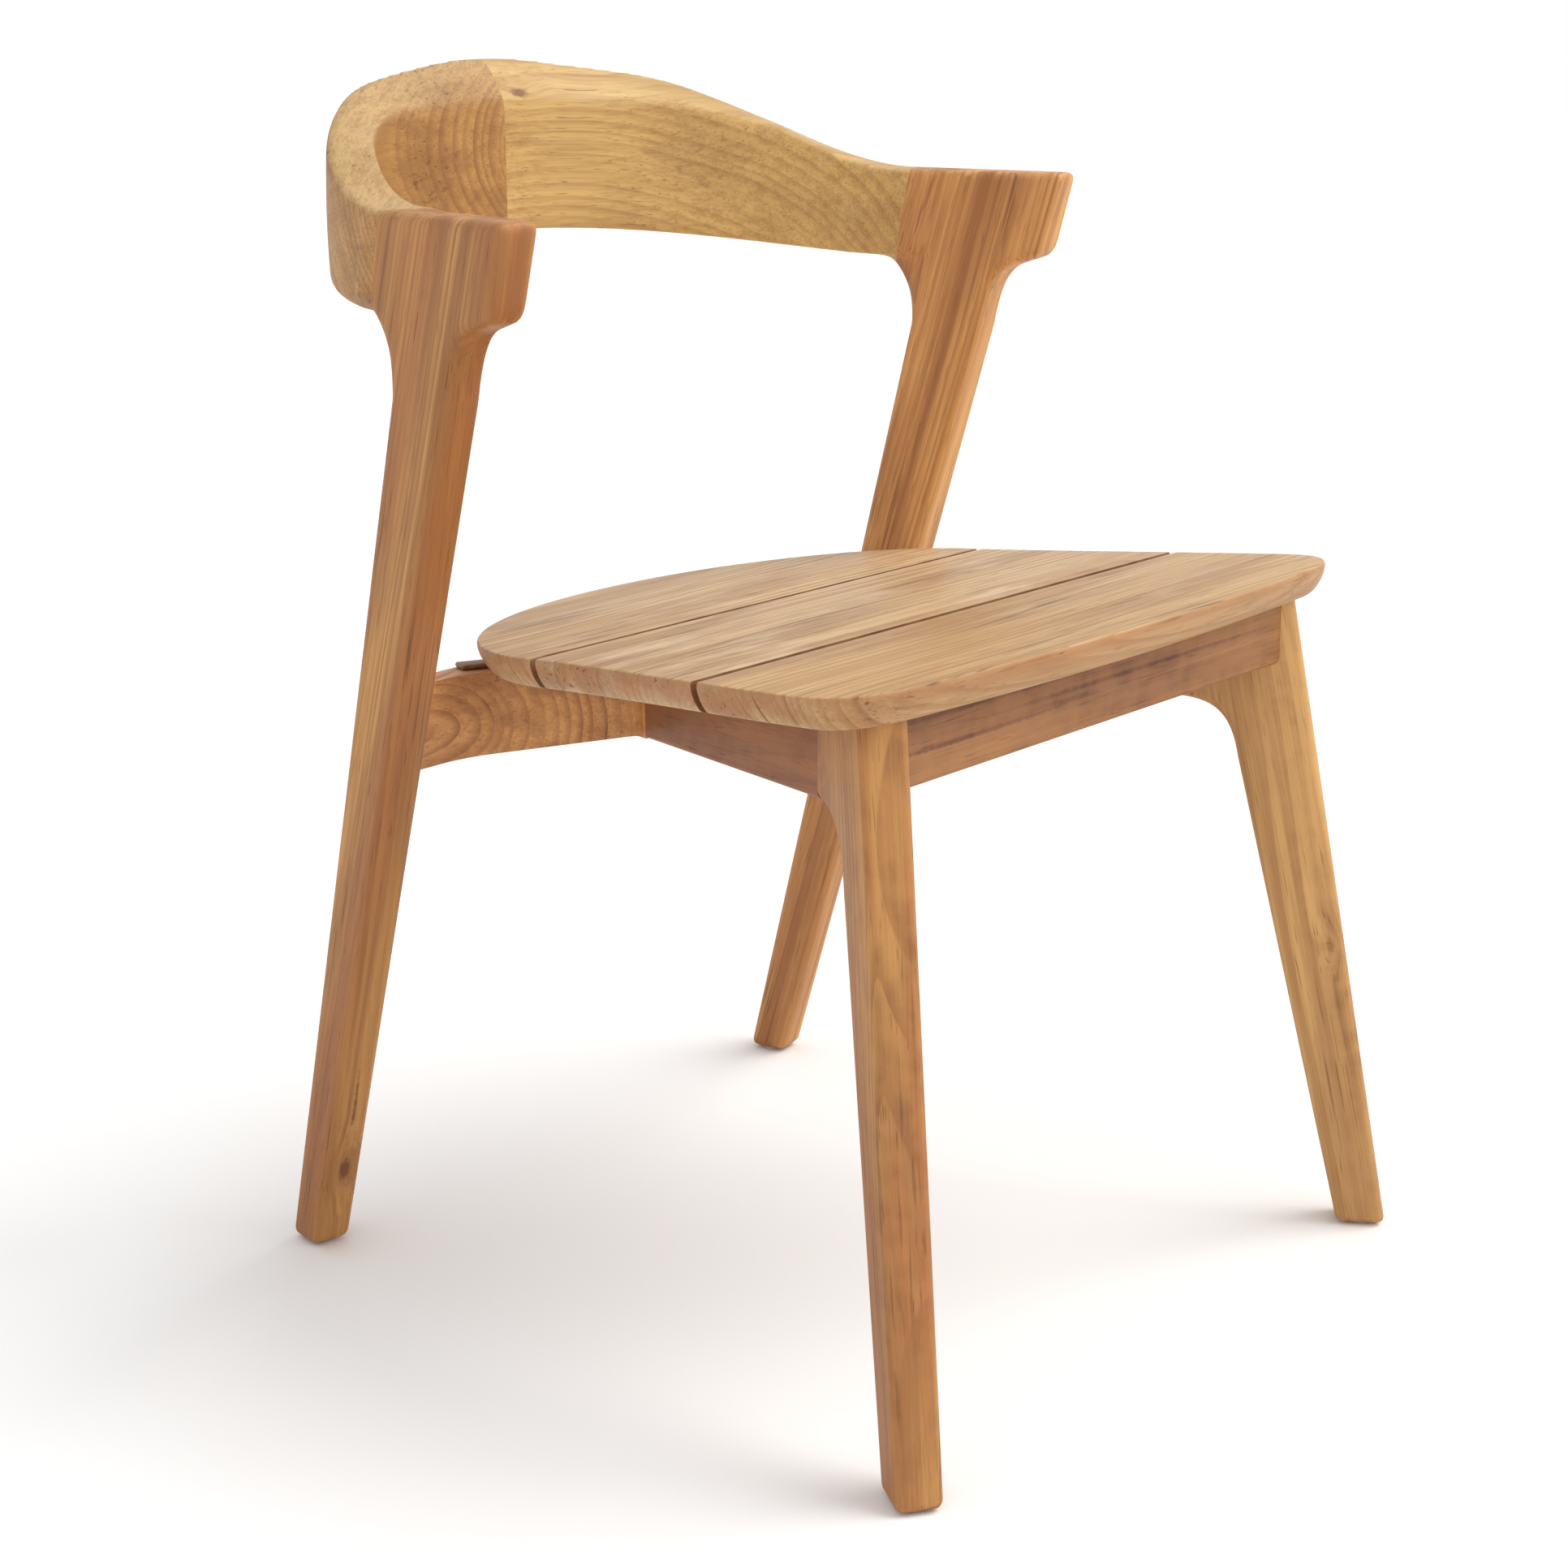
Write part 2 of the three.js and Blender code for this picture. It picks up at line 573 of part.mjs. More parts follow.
// ---------- screws through the bearers into the slats ----------

const seatNormal = V(0, Math.sin(rad(SEAT_SLOPE)), Math.cos(rad(SEAT_SLOPE)));
const slatMiddles = [
  (SLAT_GAP_BACK + bearerBack) / 2 - 8,
  (SLAT_GAP_BACK + SLAT_GAP_FRONT) / 2,
  (SLAT_GAP_FRONT + bearerFront) / 2,
];
const screws = slatMiddles.map((y) => {
  const foot = V(BEARER_X, y, seatTop(y));
  return foot.addScaledVector(seatNormal, -(SEAT_THICKNESS + BEARER_DEPTH));
});
screws.forEach((at) => {
  bearer = bearer.subtract(solid(screwGeometry(at, seatNormal, GAP)));
});

// ---------- seat slats ----------

function seatOutline() {
  const front = -SEAT_FRONT;
  const wide = SEAT_HALF_WIDTH_FRONT;
  const narrow = SEAT_HALF_WIDTH_BACK;
  const corner = front + SEAT_CORNER + 12;
  const shape = new THREE.Shape();
  shape.moveTo(0, front);
  shape.bezierCurveTo(90, front, wide - 100, front + 6, wide - SEAT_CORNER, front + 12);
  shape.bezierCurveTo(wide - 12, front + 18, wide + 2, front + 34, wide, corner);
  shape.bezierCurveTo(wide - 9, corner + 80, narrow + 4, SEAT_SIDE_END - 60, narrow, SEAT_SIDE_END);
  shape.absellipse(0, SEAT_SIDE_END, narrow, SEAT_BACK_REACH, 0, Math.PI, false, 0);
  shape.bezierCurveTo(-narrow - 4, SEAT_SIDE_END - 60, 9 - wide, corner + 80, -wide, corner);
  shape.bezierCurveTo(-wide - 2, front + 34, 12 - wide, front + 18, SEAT_CORNER - wide, front + 12);
  shape.bezierCurveTo(100 - wide, front + 6, -90, front, 0, front);
  return shape;
}

// the seat's outline as a plate whose rim is rounded by 'nosing'; 'top' lies above the seat
function roundedPlate(nosing, top) {
  const geometry = new THREE.ExtrudeGeometry(seatOutline(), {
    depth: SEAT_THICKNESS + top - 2 * nosing,
    bevelThickness: nosing,
    bevelSize: nosing,
    bevelOffset: -nosing,
    bevelSegments: 3,
    curveSegments: 14,
  });
  geometry.translate(0, 0, nosing - SEAT_THICKNESS);
  geometry.rotateX(-rad(SEAT_SLOPE));
  return solid(geometry.translate(0, 0, SEAT_HEIGHT));
}

// the part of a body between two values of y
function between(body, low, high) {
  const slab = new THREE.BoxGeometry(WIDE, high - low, WIDE);
  return body.intersect(solid(slab.translate(0, (low + high) / 2, SEAT_HEIGHT)));
}

const seat = roundedPlate(NOSING_TOP, 0).intersect(roundedPlate(NOSING_FOOT, 2 * NOSING_FOOT));
const half = SLAT_GAP / 2;
const slats = [
  ['seat_slat_front', between(seat, -2 * SEAT_FRONT, SLAT_GAP_FRONT - half)],
  ['seat_slat_middle', between(seat, SLAT_GAP_FRONT + half, SLAT_GAP_BACK - half)],
  ['seat_slat_back', between(seat, SLAT_GAP_BACK + half, 2 * BACK_REACH)],
].map(([name, body]) => {
  const holes = screws.map((at) => solid(screwGeometry(at, seatNormal, GAP)));
  const drilled = [...holes, ...holes.map(mirrorBody)];
  return [name, drilled.reduce((left, hole) => left.subtract(hole), body)];
});

// ---------- spacers between the rear rail and the back slat ----------

const spacerSide = (share) => V(
  SIDE_RAIL_END.x + (REAR_RAIL_BEND - SIDE_RAIL_END.x) * share,
  SIDE_RAIL_END.y + SPACER_WIDTH + (REAR_RAIL_FRONT - SIDE_RAIL_END.y) * share,
  0,
);
const spacerDepth = V(-SPACER_WIDTH / 2, SPACER_WIDTH, 0);
const spacerFront = [spacerSide(0.45), spacerSide(0.9)];
const spacerBack = spacerFront.map((p) => p.clone().add(spacerDepth)).reverse();
const spacerPlan = planShape([...spacerFront, ...spacerBack]);
const spacer = prism(spacerPlan)
  .intersect(layer(SEAT_THICKNESS + GAP, SEAT_THICKNESS + REAR_RAIL_DROP - GAP));

// ---------- middle joint of the back ----------

const midAt = (share) => V(
  0,
  BACK_REACH - BACK_THICKNESS_MID / 2,
  BACK_FOOT_MID + (BACK_INNER_TOP - BACK_FOOT_MID) * share,
);
const midDowels = [0.25, 0.72].map(midAt);
midDowels.forEach((at) => {
  backHalf = backHalf.subtract(boreAt(at, V(1, 0, 0)));
});

// ---------- glides ----------

function glideAt(frame, forward) {
  const at = frame.point(forward, 0);
  const centre = V(at.x, at.y, GLIDE_HEIGHT / 2);
  return {
    glide: rod(GLIDE_RADIUS, GLIDE_HEIGHT, centre, UP, 20),
    recess: rod(GLIDE_RADIUS + GAP, GLIDE_HEIGHT + 2 * GAP, centre, UP, 20),
  };
}

const frontGlide = glideAt(frontFrame, frontEdge(0) - FRONT_FOOT_DEPTH / 2);
const rearGlide = glideAt(rearFrame, REAR_FOOT_FRONT - REAR_FOOT_DEPTH / 2);
frontLeg = frontLeg.subtract(frontGlide.recess);
rearLeg = rearLeg.subtract(rearGlide.recess);

// ---------- assembly ----------

addPair('front_leg', frontLeg, FINISH.leg);
addPair('rear_leg', rearLeg, FINISH.leg);
addPair('back_half', backHalf, FINISH.back);
addPair('side_rail', sideRail, FINISH.rail);
add('front_apron', geometryOf(apron), FINISH.rail);
add('rear_rail', geometryOf(rearRail), FINISH.rail);
addPair('seat_bearer', bearer, FINISH.hidden);
addPair('seat_spacer', spacer, FINISH.hidden);
slats.forEach(([name, body]) => add(name, geometryOf(body), FINISH.slat));
dowels.forEach(([name, body]) => addPair(name, body, FINISH.dowel));
midDowels.forEach((at, i) => {
  add(`back_middle_dowel_${i + 1}`, geometryOf(dowelAt(at, V(1, 0, 0))), FINISH.dowel);
});
const slatNames = ['back', 'middle', 'front'];
screws.forEach((at, i) => {
  addPair(`slat_screw_${slatNames[i]}`, solid(screwGeometry(at, seatNormal, 0)), FINISH.steel);
});
addPair('front_glide', frontGlide.glide, FINISH.glide);
addPair('rear_glide', rearGlide.glide, FINISH.glide);

// the origin is the middle of the foot of the chair's overall box
const box = new THREE.Box3().setFromObject(chair);
const centreY = (box.min.y + box.max.y) / 2;
chair.children.forEach((mesh) => mesh.geometry.translate(0, -centreY, 0));

export default chair;
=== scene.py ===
"""Looks of the teak dining chair: softly sanded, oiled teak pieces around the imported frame."""
import logging
import math
from dataclasses import dataclass, field
from enum import Enum
from typing import Callable, Sequence

import bmesh
import bpy
from mathutils import Euler, Matrix, Vector


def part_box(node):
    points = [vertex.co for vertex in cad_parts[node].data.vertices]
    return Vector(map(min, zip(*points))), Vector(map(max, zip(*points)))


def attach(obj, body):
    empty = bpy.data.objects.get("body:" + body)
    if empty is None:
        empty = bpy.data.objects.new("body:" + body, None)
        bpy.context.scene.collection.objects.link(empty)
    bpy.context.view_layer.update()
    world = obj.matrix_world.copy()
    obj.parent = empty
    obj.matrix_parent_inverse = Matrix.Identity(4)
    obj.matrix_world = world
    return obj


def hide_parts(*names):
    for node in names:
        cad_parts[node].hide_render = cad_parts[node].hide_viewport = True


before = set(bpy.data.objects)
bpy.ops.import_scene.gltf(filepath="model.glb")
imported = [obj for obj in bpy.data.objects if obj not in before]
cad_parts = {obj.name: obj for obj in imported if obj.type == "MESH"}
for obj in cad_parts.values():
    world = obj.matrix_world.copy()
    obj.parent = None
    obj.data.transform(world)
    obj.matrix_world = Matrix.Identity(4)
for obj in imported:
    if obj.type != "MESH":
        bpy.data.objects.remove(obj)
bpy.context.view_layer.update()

log = logging.getLogger("dining_chair")

BODY = "root"
SEAM = 0.00004                 # half of the fine line left between two glued pieces
SMOOTH_ANGLE = math.radians(40)
# painted top light: the lighter gold mixed into upward-facing faces
TOP_LIGHT_GOLD = (0.62, 0.42, 0.175, 1.0)
HEARTWOOD = (0.46, 0.17, 0.062)
# painted shade: the dark red mixed into the seat's side faces
SIDE_SHADE_RED = (0.43, 0.17, 0.060, 1.0)
# painted shade: the dark brown mixed into the slat faces in the gaps between slats
GAP_SHADE_BROWN = (0.175, 0.060, 0.022, 1.0)
RIGHT, LEFT = "right", "left"

Point2 = tuple[float, float]


# ---------------------------------------------------------------- mesh helpers


def deselect_all() -> None:
    """Leaves nothing selected."""
    if bpy.context.object and bpy.context.object.mode != "OBJECT":
        bpy.ops.object.mode_set(mode="OBJECT")
    bpy.ops.object.select_all(action="DESELECT")


def activate(piece: bpy.types.Object) -> None:
    """Makes one piece the only selected and the active object."""
    deselect_all()
    piece.select_set(True)
    bpy.context.view_layer.objects.active = piece


def outward(piece: bpy.types.Object) -> None:
    """Merges doubled corners and turns every face outwards."""
    activate(piece)
    bpy.ops.object.mode_set(mode="EDIT")
    bpy.ops.mesh.select_all(action="SELECT")
    bpy.ops.mesh.remove_doubles(threshold=1e-6)
    bpy.ops.mesh.normals_make_consistent(inside=False)
    bpy.ops.object.mode_set(mode="OBJECT")


def smooth_shade(piece: bpy.types.Object, angle: float = SMOOTH_ANGLE) -> None:
    """Shades a piece smooth, and keeps its sharper edges crisp."""
    activate(piece)
    bpy.ops.object.shade_smooth_by_angle(angle=angle)


def prism(name: str, outline: Sequence[Vector], run: Vector) -> bpy.types.Object:
    """A flat outline drawn with a circle's corners and extruded along one direction.

    Args:
        name: name of the new piece.
        outline: corners of the outline, in order round it.
        run: direction and length of the extrusion.

    Returns:
        The closed solid.
    """
    deselect_all()
    bpy.ops.mesh.primitive_circle_add(vertices=len(outline), radius=1, fill_type="NGON")
    piece = bpy.context.object
    piece.name = name
    for corner, place in zip(piece.data.vertices, outline):
        corner.co = place
    bpy.ops.object.mode_set(mode="EDIT")
    bpy.ops.mesh.select_all(action="SELECT")
    bpy.ops.mesh.extrude_region_move(TRANSFORM_OT_translate={"value": run})
    bpy.ops.object.mode_set(mode="OBJECT")
    outward(piece)
    return piece


def loft(name: str, rings: Sequence[Sequence[Vector]]) -> bpy.types.Object:
    """A closed skin over rings of the same number of corners, capped at both ends."""
    work = bmesh.new()
    rows = [[work.verts.new(place) for place in ring] for ring in rings]
    count = len(rows[0])
    for near, far in zip(rows, rows[1:]):
        for i in range(count):
            j = (i + 1) % count
            work.faces.new((near[i], near[j], far[j], far[i]))
    work.faces.new(rows[0])
    work.faces.new(rows[-1])
    mesh = bpy.data.meshes.new(name)
    work.to_mesh(mesh)
    work.free()
    piece = bpy.data.objects.new(name, mesh)
    bpy.context.scene.collection.objects.link(piece)
    outward(piece)
    return piece


def soften(
    piece: bpy.types.Object,
    radius: float,
    wanted: Callable[[Vector, Vector], bool] = lambda a, b: True,
    segments: int = 4,
    sharpest: float = math.radians(28),
) -> None:
    """Rounds the edges of a piece that are sharp and wanted, as sanding does.

    Args:
        piece: the piece.
        radius: width of the rounding.
        wanted: test on an edge's two ends.
        segments: steps across the rounding.
        sharpest: edges flatter than this are left alone.
    """
    activate(piece)
    bpy.ops.object.mode_set(mode="EDIT")
    bpy.ops.mesh.select_mode(type="EDGE")
    bpy.ops.mesh.select_all(action="DESELECT")
    work = bmesh.from_edit_mesh(piece.data)
    for edge in work.edges:
        if len(edge.link_faces) == 2 and edge.calc_face_angle(0.0) > sharpest:
            edge.select = wanted(edge.verts[0].co, edge.verts[1].co)
    bmesh.update_edit_mesh(piece.data)
    bpy.ops.mesh.bevel(
        offset=radius, segments=segments, affect="EDGES", clamp_overlap=True, profile=0.5
    )
    bpy.ops.object.mode_set(mode="OBJECT")


def cut(
    piece: bpy.types.Object, at: Vector, away: Vector, fill: bool = True, above: float = -1.0
) -> None:
    """Cuts off everything beyond a plane.

    Args:
        piece: the piece to cut.
        at: a point of the plane.
        away: direction of the side that is removed.
        fill: whether the cut is closed with a face.
        above: height below which the piece is left whole.
    """
    activate(piece)
    bpy.ops.object.mode_set(mode="EDIT")
    bpy.ops.mesh.select_all(action="DESELECT")
    bpy.ops.object.mode_set(mode="OBJECT")
    for face in piece.data.polygons:
        face.select = face.center.z > above
    bpy.ops.object.mode_set(mode="EDIT")
    bpy.ops.mesh.bisect(
        plane_co=at, plane_no=away, use_fill=fill, clear_outer=True, threshold=1e-7
    )
    bpy.ops.object.mode_set(mode="OBJECT")


def copied(piece: bpy.types.Object, name: str) -> bpy.types.Object:
    """A copy of a piece with a mesh of its own."""
    twin = piece.copy()
    twin.data = piece.data.copy()
    twin.name = name
    bpy.context.scene.collection.objects.link(twin)
    return twin


def mirrored(piece: bpy.types.Object, name: str) -> bpy.types.Object:
    """A copy of a piece on the other side of the chair."""
    twin = copied(piece, name)
    twin.data.transform(Matrix.Scale(-1, 4, (1, 0, 0)))
    twin.data.flip_normals()
    return twin


def joined(name: str, parts: Sequence[bpy.types.Object]) -> bpy.types.Object:
    """Several overlapping solids as one object."""
    deselect_all()
    for part in parts:
        part.select_set(True)
    bpy.context.view_layer.objects.active = parts[0]
    bpy.ops.object.join()
    parts[0].name = name
    return parts[0]


def sanded(piece: bpy.types.Object, grit: float, passes: int) -> None:
    """Melts overlapping solids into one skin and smooths it, as shaping and sanding does.

    Args:
        piece: the joined solids.
        grit: size of the new skin's facets.
        passes: rounds of smoothing.
    """
    activate(piece)
    melt = piece.modifiers.new("melt", "REMESH")
    melt.mode = "VOXEL"
    melt.voxel_size = grit
    melt.use_smooth_shade = True
    bpy.ops.object.modifier_apply(modifier=melt.name)
    rub = piece.modifiers.new("rub", "SMOOTH")
    rub.factor = 0.5
    rub.iterations = passes
    bpy.ops.object.modifier_apply(modifier=rub.name)


def bezier(a: Vector, b: Vector, c: Vector, d: Vector, steps: int) -> list[Vector]:
    """Points along a cubic curve, without its first one."""
    points = []
    for i in range(1, steps + 1):
        t = i / steps
        s = 1 - t
        points.append(a * s**3 + b * (3 * s * s * t) + c * (3 * s * t * t) + d * t**3)
    return points


# ---------------------------------------------------------------- shader helpers


def add_node(tree: bpy.types.NodeTree, kind: str, **values: object) -> bpy.types.Node:
    """A node of a kind, with its plain properties set."""
    node = tree.nodes.new(kind)
    for key, value in values.items():
        setattr(node, key, value)
    return node


class Shop:
    """Builds one node tree: a thin hand tool for arithmetic, noise and mixing."""

    def __init__(self, tree: bpy.types.NodeTree) -> None:
        """Works on a tree."""
        self.tree = tree

    def feed(self, socket: bpy.types.NodeSocket, value: object) -> None:
        """Links a socket to another, or sets its plain value."""
        if isinstance(value, bpy.types.NodeSocket):
            self.tree.links.new(value, socket)
        else:
            socket.default_value = value

    def math(self, how: str, a: object, b: object = 0.0, clamp: bool = False) -> bpy.types.NodeSocket:
        """The result of one arithmetic step on one or two values."""
        node = add_node(self.tree, "ShaderNodeMath", operation=how, use_clamp=clamp)
        self.feed(node.inputs[0], a)
        if len(node.inputs) > 1:
            self.feed(node.inputs[1], b)
        return node.outputs[0]

    def vector(self, how: str, a: object, b: object) -> bpy.types.NodeSocket:
        """The result of one vector step on two vectors."""
        node = add_node(self.tree, "ShaderNodeVectorMath", operation=how)
        self.feed(node.inputs[0], a)
        self.feed(node.inputs[1], b)
        return node.outputs["Value" if how in ("DISTANCE", "LENGTH") else "Vector"]

    def split(self, a: object) -> tuple[bpy.types.NodeSocket, ...]:
        """The three parts of a vector."""
        node = add_node(self.tree, "ShaderNodeSeparateXYZ")
        self.feed(node.inputs[0], a)
        return tuple(node.outputs)

    def join(self, x: object, y: object, z: object) -> bpy.types.NodeSocket:
        """A vector of three values."""
        node = add_node(self.tree, "ShaderNodeCombineXYZ")
        for socket, value in zip(node.inputs, (x, y, z)):
            self.feed(socket, value)
        return node.outputs[0]

    def noise(
        self, at: object, scale: float, detail: float = 2.0, rough: float = 0.5, flat: bool = False
    ) -> bpy.types.NodeSocket:
        """A soft random value from 0 to 1, in space, or along one line if flat."""
        node = add_node(self.tree, "ShaderNodeTexNoise", noise_dimensions="1D" if flat else "3D")
        self.feed(node.inputs["W" if flat else "Vector"], at)
        node.inputs["Scale"].default_value = scale
        node.inputs["Detail"].default_value = detail
        node.inputs["Roughness"].default_value = rough
        return node.outputs["Fac"]

    def span(
        self, value: object, low: object, high: object, to_low: float = 0.0, to_high: float = 1.0
    ) -> bpy.types.NodeSocket:
        """A value moved smoothly from one range to another, and kept inside it."""
        node = add_node(self.tree, "ShaderNodeMapRange", interpolation_type="SMOOTHSTEP")
        for socket, given in zip(node.inputs, (value, low, high, to_low, to_high)):
            self.feed(socket, given)
        return node.outputs[0]

    def mix(self, share: object, a: object, b: object, how: str = "MIX") -> bpy.types.NodeSocket:
        """Two colours mixed by a share."""
        node = add_node(self.tree, "ShaderNodeMix", data_type="RGBA", blend_type=how)
        self.feed(node.inputs[0], share)
        self.feed(node.inputs[6], a)
        self.feed(node.inputs[7], b)
        return node.outputs[2]

    def group(self, tree: bpy.types.NodeTree, **values: object) -> bpy.types.Node:
        """A node group placed in this tree, with its inputs set by name."""
        node = add_node(self.tree, "ShaderNodeGroup", node_tree=tree)
        for key, value in values.items():
            self.feed(node.inputs[key.replace("_", " ").capitalize()], value)
        return node


def new_group(
    name: str, inputs: Sequence[tuple[str, str, object]], outputs: Sequence[tuple[str, str]]
) -> tuple[Shop, bpy.types.Node, bpy.types.Node]:
    """An empty shader group with named sockets.

    Args:
        name: the group's name.
        inputs: name, kind and starting value of each input.
        outputs: name and kind of each output.

    Returns:
        Its shop, its input node and its output node.
    """
    tree = bpy.data.node_groups.new(name, "ShaderNodeTree")
    for label, kind, value in inputs:
        socket = tree.interface.new_socket(label, in_out="INPUT", socket_type="NodeSocket" + kind)
        if kind == "Float":
            socket.default_value = value
    for label, kind in outputs:
        tree.interface.new_socket(label, in_out="OUTPUT", socket_type="NodeSocket" + kind)
    return Shop(tree), tree.nodes.new("NodeGroupInput"), tree.nodes.new("NodeGroupOutput")


# ---------------------------------------------------------------- shared wood effects


def growth_rings() -> bpy.types.NodeTree:
    """The log's growth rings, as a solid pattern whose Z runs along the grain."""
    shop, given, out = new_group(
        "growth_rings",
        [("Vector", "Vector", None), ("Pith x", "Float", 0.1), ("Pith y", "Float", 0.0),
         ("Ring width", "Float", 0.004), ("Wander", "Float", 0.01)],
        [("Ring", "Float"), ("Late", "Float"), ("Tone", "Float"), ("Streak", "Float")],
    )
    at = given.outputs["Vector"]
    long_way = shop.vector("MULTIPLY", at, (3.0, 3.0, 1.4))
    ripple = shop.vector("MULTIPLY", at, (22.0, 22.0, 7.0))
    x, y, _ = shop.split(at)
    bend_x = shop.math("SUBTRACT", shop.noise(long_way, 1.3, 1.5), 0.5)
    elsewhere = shop.vector("ADD", long_way, (7.3, 1.9, 4.1))
    bend_y = shop.math("SUBTRACT", shop.noise(elsewhere, 1.3, 1.5), 0.5)
    shake = shop.math("MULTIPLY", shop.math("SUBTRACT", shop.noise(ripple, 1.0, 2.0), 0.5), 0.09)
    wander = given.outputs["Wander"]
    across = shop.math("ADD", x, shop.math("MULTIPLY", shop.math("ADD", bend_x, shake), wander))
    aside = shop.math("ADD", y, shop.math("MULTIPLY", bend_y, wander))
    dx = shop.math("SUBTRACT", across, given.outputs["Pith x"])
    dy = shop.math("SUBTRACT", aside, given.outputs["Pith y"])
    squares = shop.math("ADD", shop.math("POWER", dx, 2.0), shop.math("POWER", dy, 2.0))
    radius = shop.math("SQRT", squares)
    count = shop.math("DIVIDE", radius, given.outputs["Ring width"])
    uneven = shop.math("MULTIPLY", shop.noise(count, 0.22, 2.0, flat=True), 3.0)
    count = shop.math("ADD", count, uneven)
    ring = shop.math("FRACT", count)
    late = shop.math(
        "MULTIPLY", shop.span(ring, 0.25, 0.93), shop.span(ring, 0.93, 1.0, 1.0, 0.0)
    )
    number = shop.math("FLOOR", count)
    dice = add_node(shop.tree, "ShaderNodeTexWhiteNoise", noise_dimensions="1D")
    shop.feed(dice.inputs["W"], number)
    tone = shop.noise(count, 0.31, 1.0, flat=True)
    strong = shop.span(dice.outputs["Value"], 0.72, 0.95)
    line = shop.math("MULTIPLY", shop.span(ring, 0.6, 0.9), shop.span(ring, 0.92, 0.99, 1.0, 0.0))
    broken = shop.span(shop.noise(shop.vector("MULTIPLY", at, (30.0, 30.0, 6.0)), 1.0, 2.0), 0.4, 0.62)
    shop.feed(out.inputs["Ring"], ring)
    shop.feed(out.inputs["Late"], late)
    shop.feed(out.inputs["Tone"], tone)
    shop.feed(out.inputs["Streak"], shop.math("MULTIPLY", shop.math("MULTIPLY", line, strong), broken))
    return shop.tree


def wood_fibres() -> bpy.types.NodeTree:
    """Fine fibres, long open pores and soft patches that carry a painted sheen, with Z along the grain.
    """
    shop, given, out = new_group(
        "wood_fibres",
        [("Vector", "Vector", None), ("Ring", "Float", 0.0)],
        [("Fibre", "Float"), ("Pore", "Float"), ("SheenPatch", "Float"), ("Fleck", "Float")],
    )
    at = given.outputs["Vector"]
    hair = shop.noise(shop.vector("MULTIPLY", at, (620.0, 620.0, 9.0)), 1.0, 3.0, 0.6)
    coarse = shop.noise(shop.vector("MULTIPLY", at, (190.0, 190.0, 3.5)), 1.0, 2.0, 0.5)
    fibre = shop.math("ADD", shop.math("MULTIPLY", hair, 0.55), shop.math("MULTIPLY", coarse, 0.45))
    dash = shop.noise(shop.vector("MULTIPLY", at, (1150.0, 1150.0, 42.0)), 1.0, 0.0)
    early = shop.span(given.outputs["Ring"], 0.0, 0.45, 1.0, 0.25)
    pore = shop.math("MULTIPLY", shop.span(dash, 0.66, 0.76), early)
    # soft patches for a painted sheen
    sheen_noise = shop.noise(shop.vector("MULTIPLY", at, (40.0, 40.0, 9.0)), 1.0, 3.0, 0.6)
    scratch = shop.noise(shop.vector("MULTIPLY", at, (330.0, 330.0, 9.0)), 1.0, 1.5)
    patch = shop.span(shop.noise(shop.vector("MULTIPLY", at, (26.0, 26.0, 5.0)), 1.0, 1.0), 0.42, 0.62)
    fleck = shop.math("MULTIPLY", shop.span(scratch, 0.62, 0.68), patch)
    shop.feed(out.inputs["Fibre"], fibre)
    shop.feed(out.inputs["Pore"], pore)
    shop.feed(out.inputs["SheenPatch"], sheen_noise)
    shop.feed(out.inputs["Fleck"], fleck)
    return shop.tree


def timber_tone() -> bpy.types.NodeTree:
    """Slow drift of colour along and across a board."""
    shop, given, out = new_group(
        "timber_tone", [("Vector", "Vector", None)],
        [("Drift", "Float"), ("Band", "Float"), ("Blush", "Float")],
    )
    at = given.outputs["Vector"]
    shop.feed(out.inputs["Drift"], shop.noise(shop.vector("MULTIPLY", at, (24.0, 24.0, 4.5)), 1.0, 2.5))
    shop.feed(out.inputs["Band"], shop.noise(shop.vector("MULTIPLY", at, (58.0, 58.0, 1.1)), 1.0, 2.0))
    shop.feed(out.inputs["Blush"], shop.noise(shop.vector("MULTIPLY", at, (36.0, 36.0, 2.4)), 1.0, 2.0))
    return shop.tree


def knot_mark() -> bpy.types.NodeTree:
    """A small knot: a dark heart, with the grain swept aside round it."""
    shop, given, out = new_group(
        "knot_mark",
        [("Vector", "Vector", None), ("Centre", "Vector", None), ("Size", "Float", 0.004),
         ("Stretch", "Float", 2.2)],
        [("Vector", "Vector"), ("Dark", "Float")],
    )
    at = given.outputs["Vector"]
    away = shop.vector("SUBTRACT", at, given.outputs["Centre"])
    along = shop.math("DIVIDE", 1.0, given.outputs["Stretch"])
    squeezed = shop.vector("MULTIPLY", away, shop.join(1.0, 1.0, along))
    far = shop.vector("LENGTH", squeezed, (0.0, 0.0, 0.0))
    share = shop.math("DIVIDE", far, given.outputs["Size"])
    push = shop.math("MULTIPLY", shop.span(share, 0.0, 5.0, 1.0, 0.0), given.outputs["Size"])
    lift = shop.math("MULTIPLY", push, 1.6)
    shop.feed(out.inputs["Vector"], shop.vector("ADD", at, shop.join(lift, lift, 0.0)))
    ragged = shop.math("ADD", share, shop.noise(at, 420.0, 2.0))
    shop.feed(out.inputs["Dark"], shop.span(ragged, 0.9, 1.9, 1.0, 0.0))
    return shop.tree


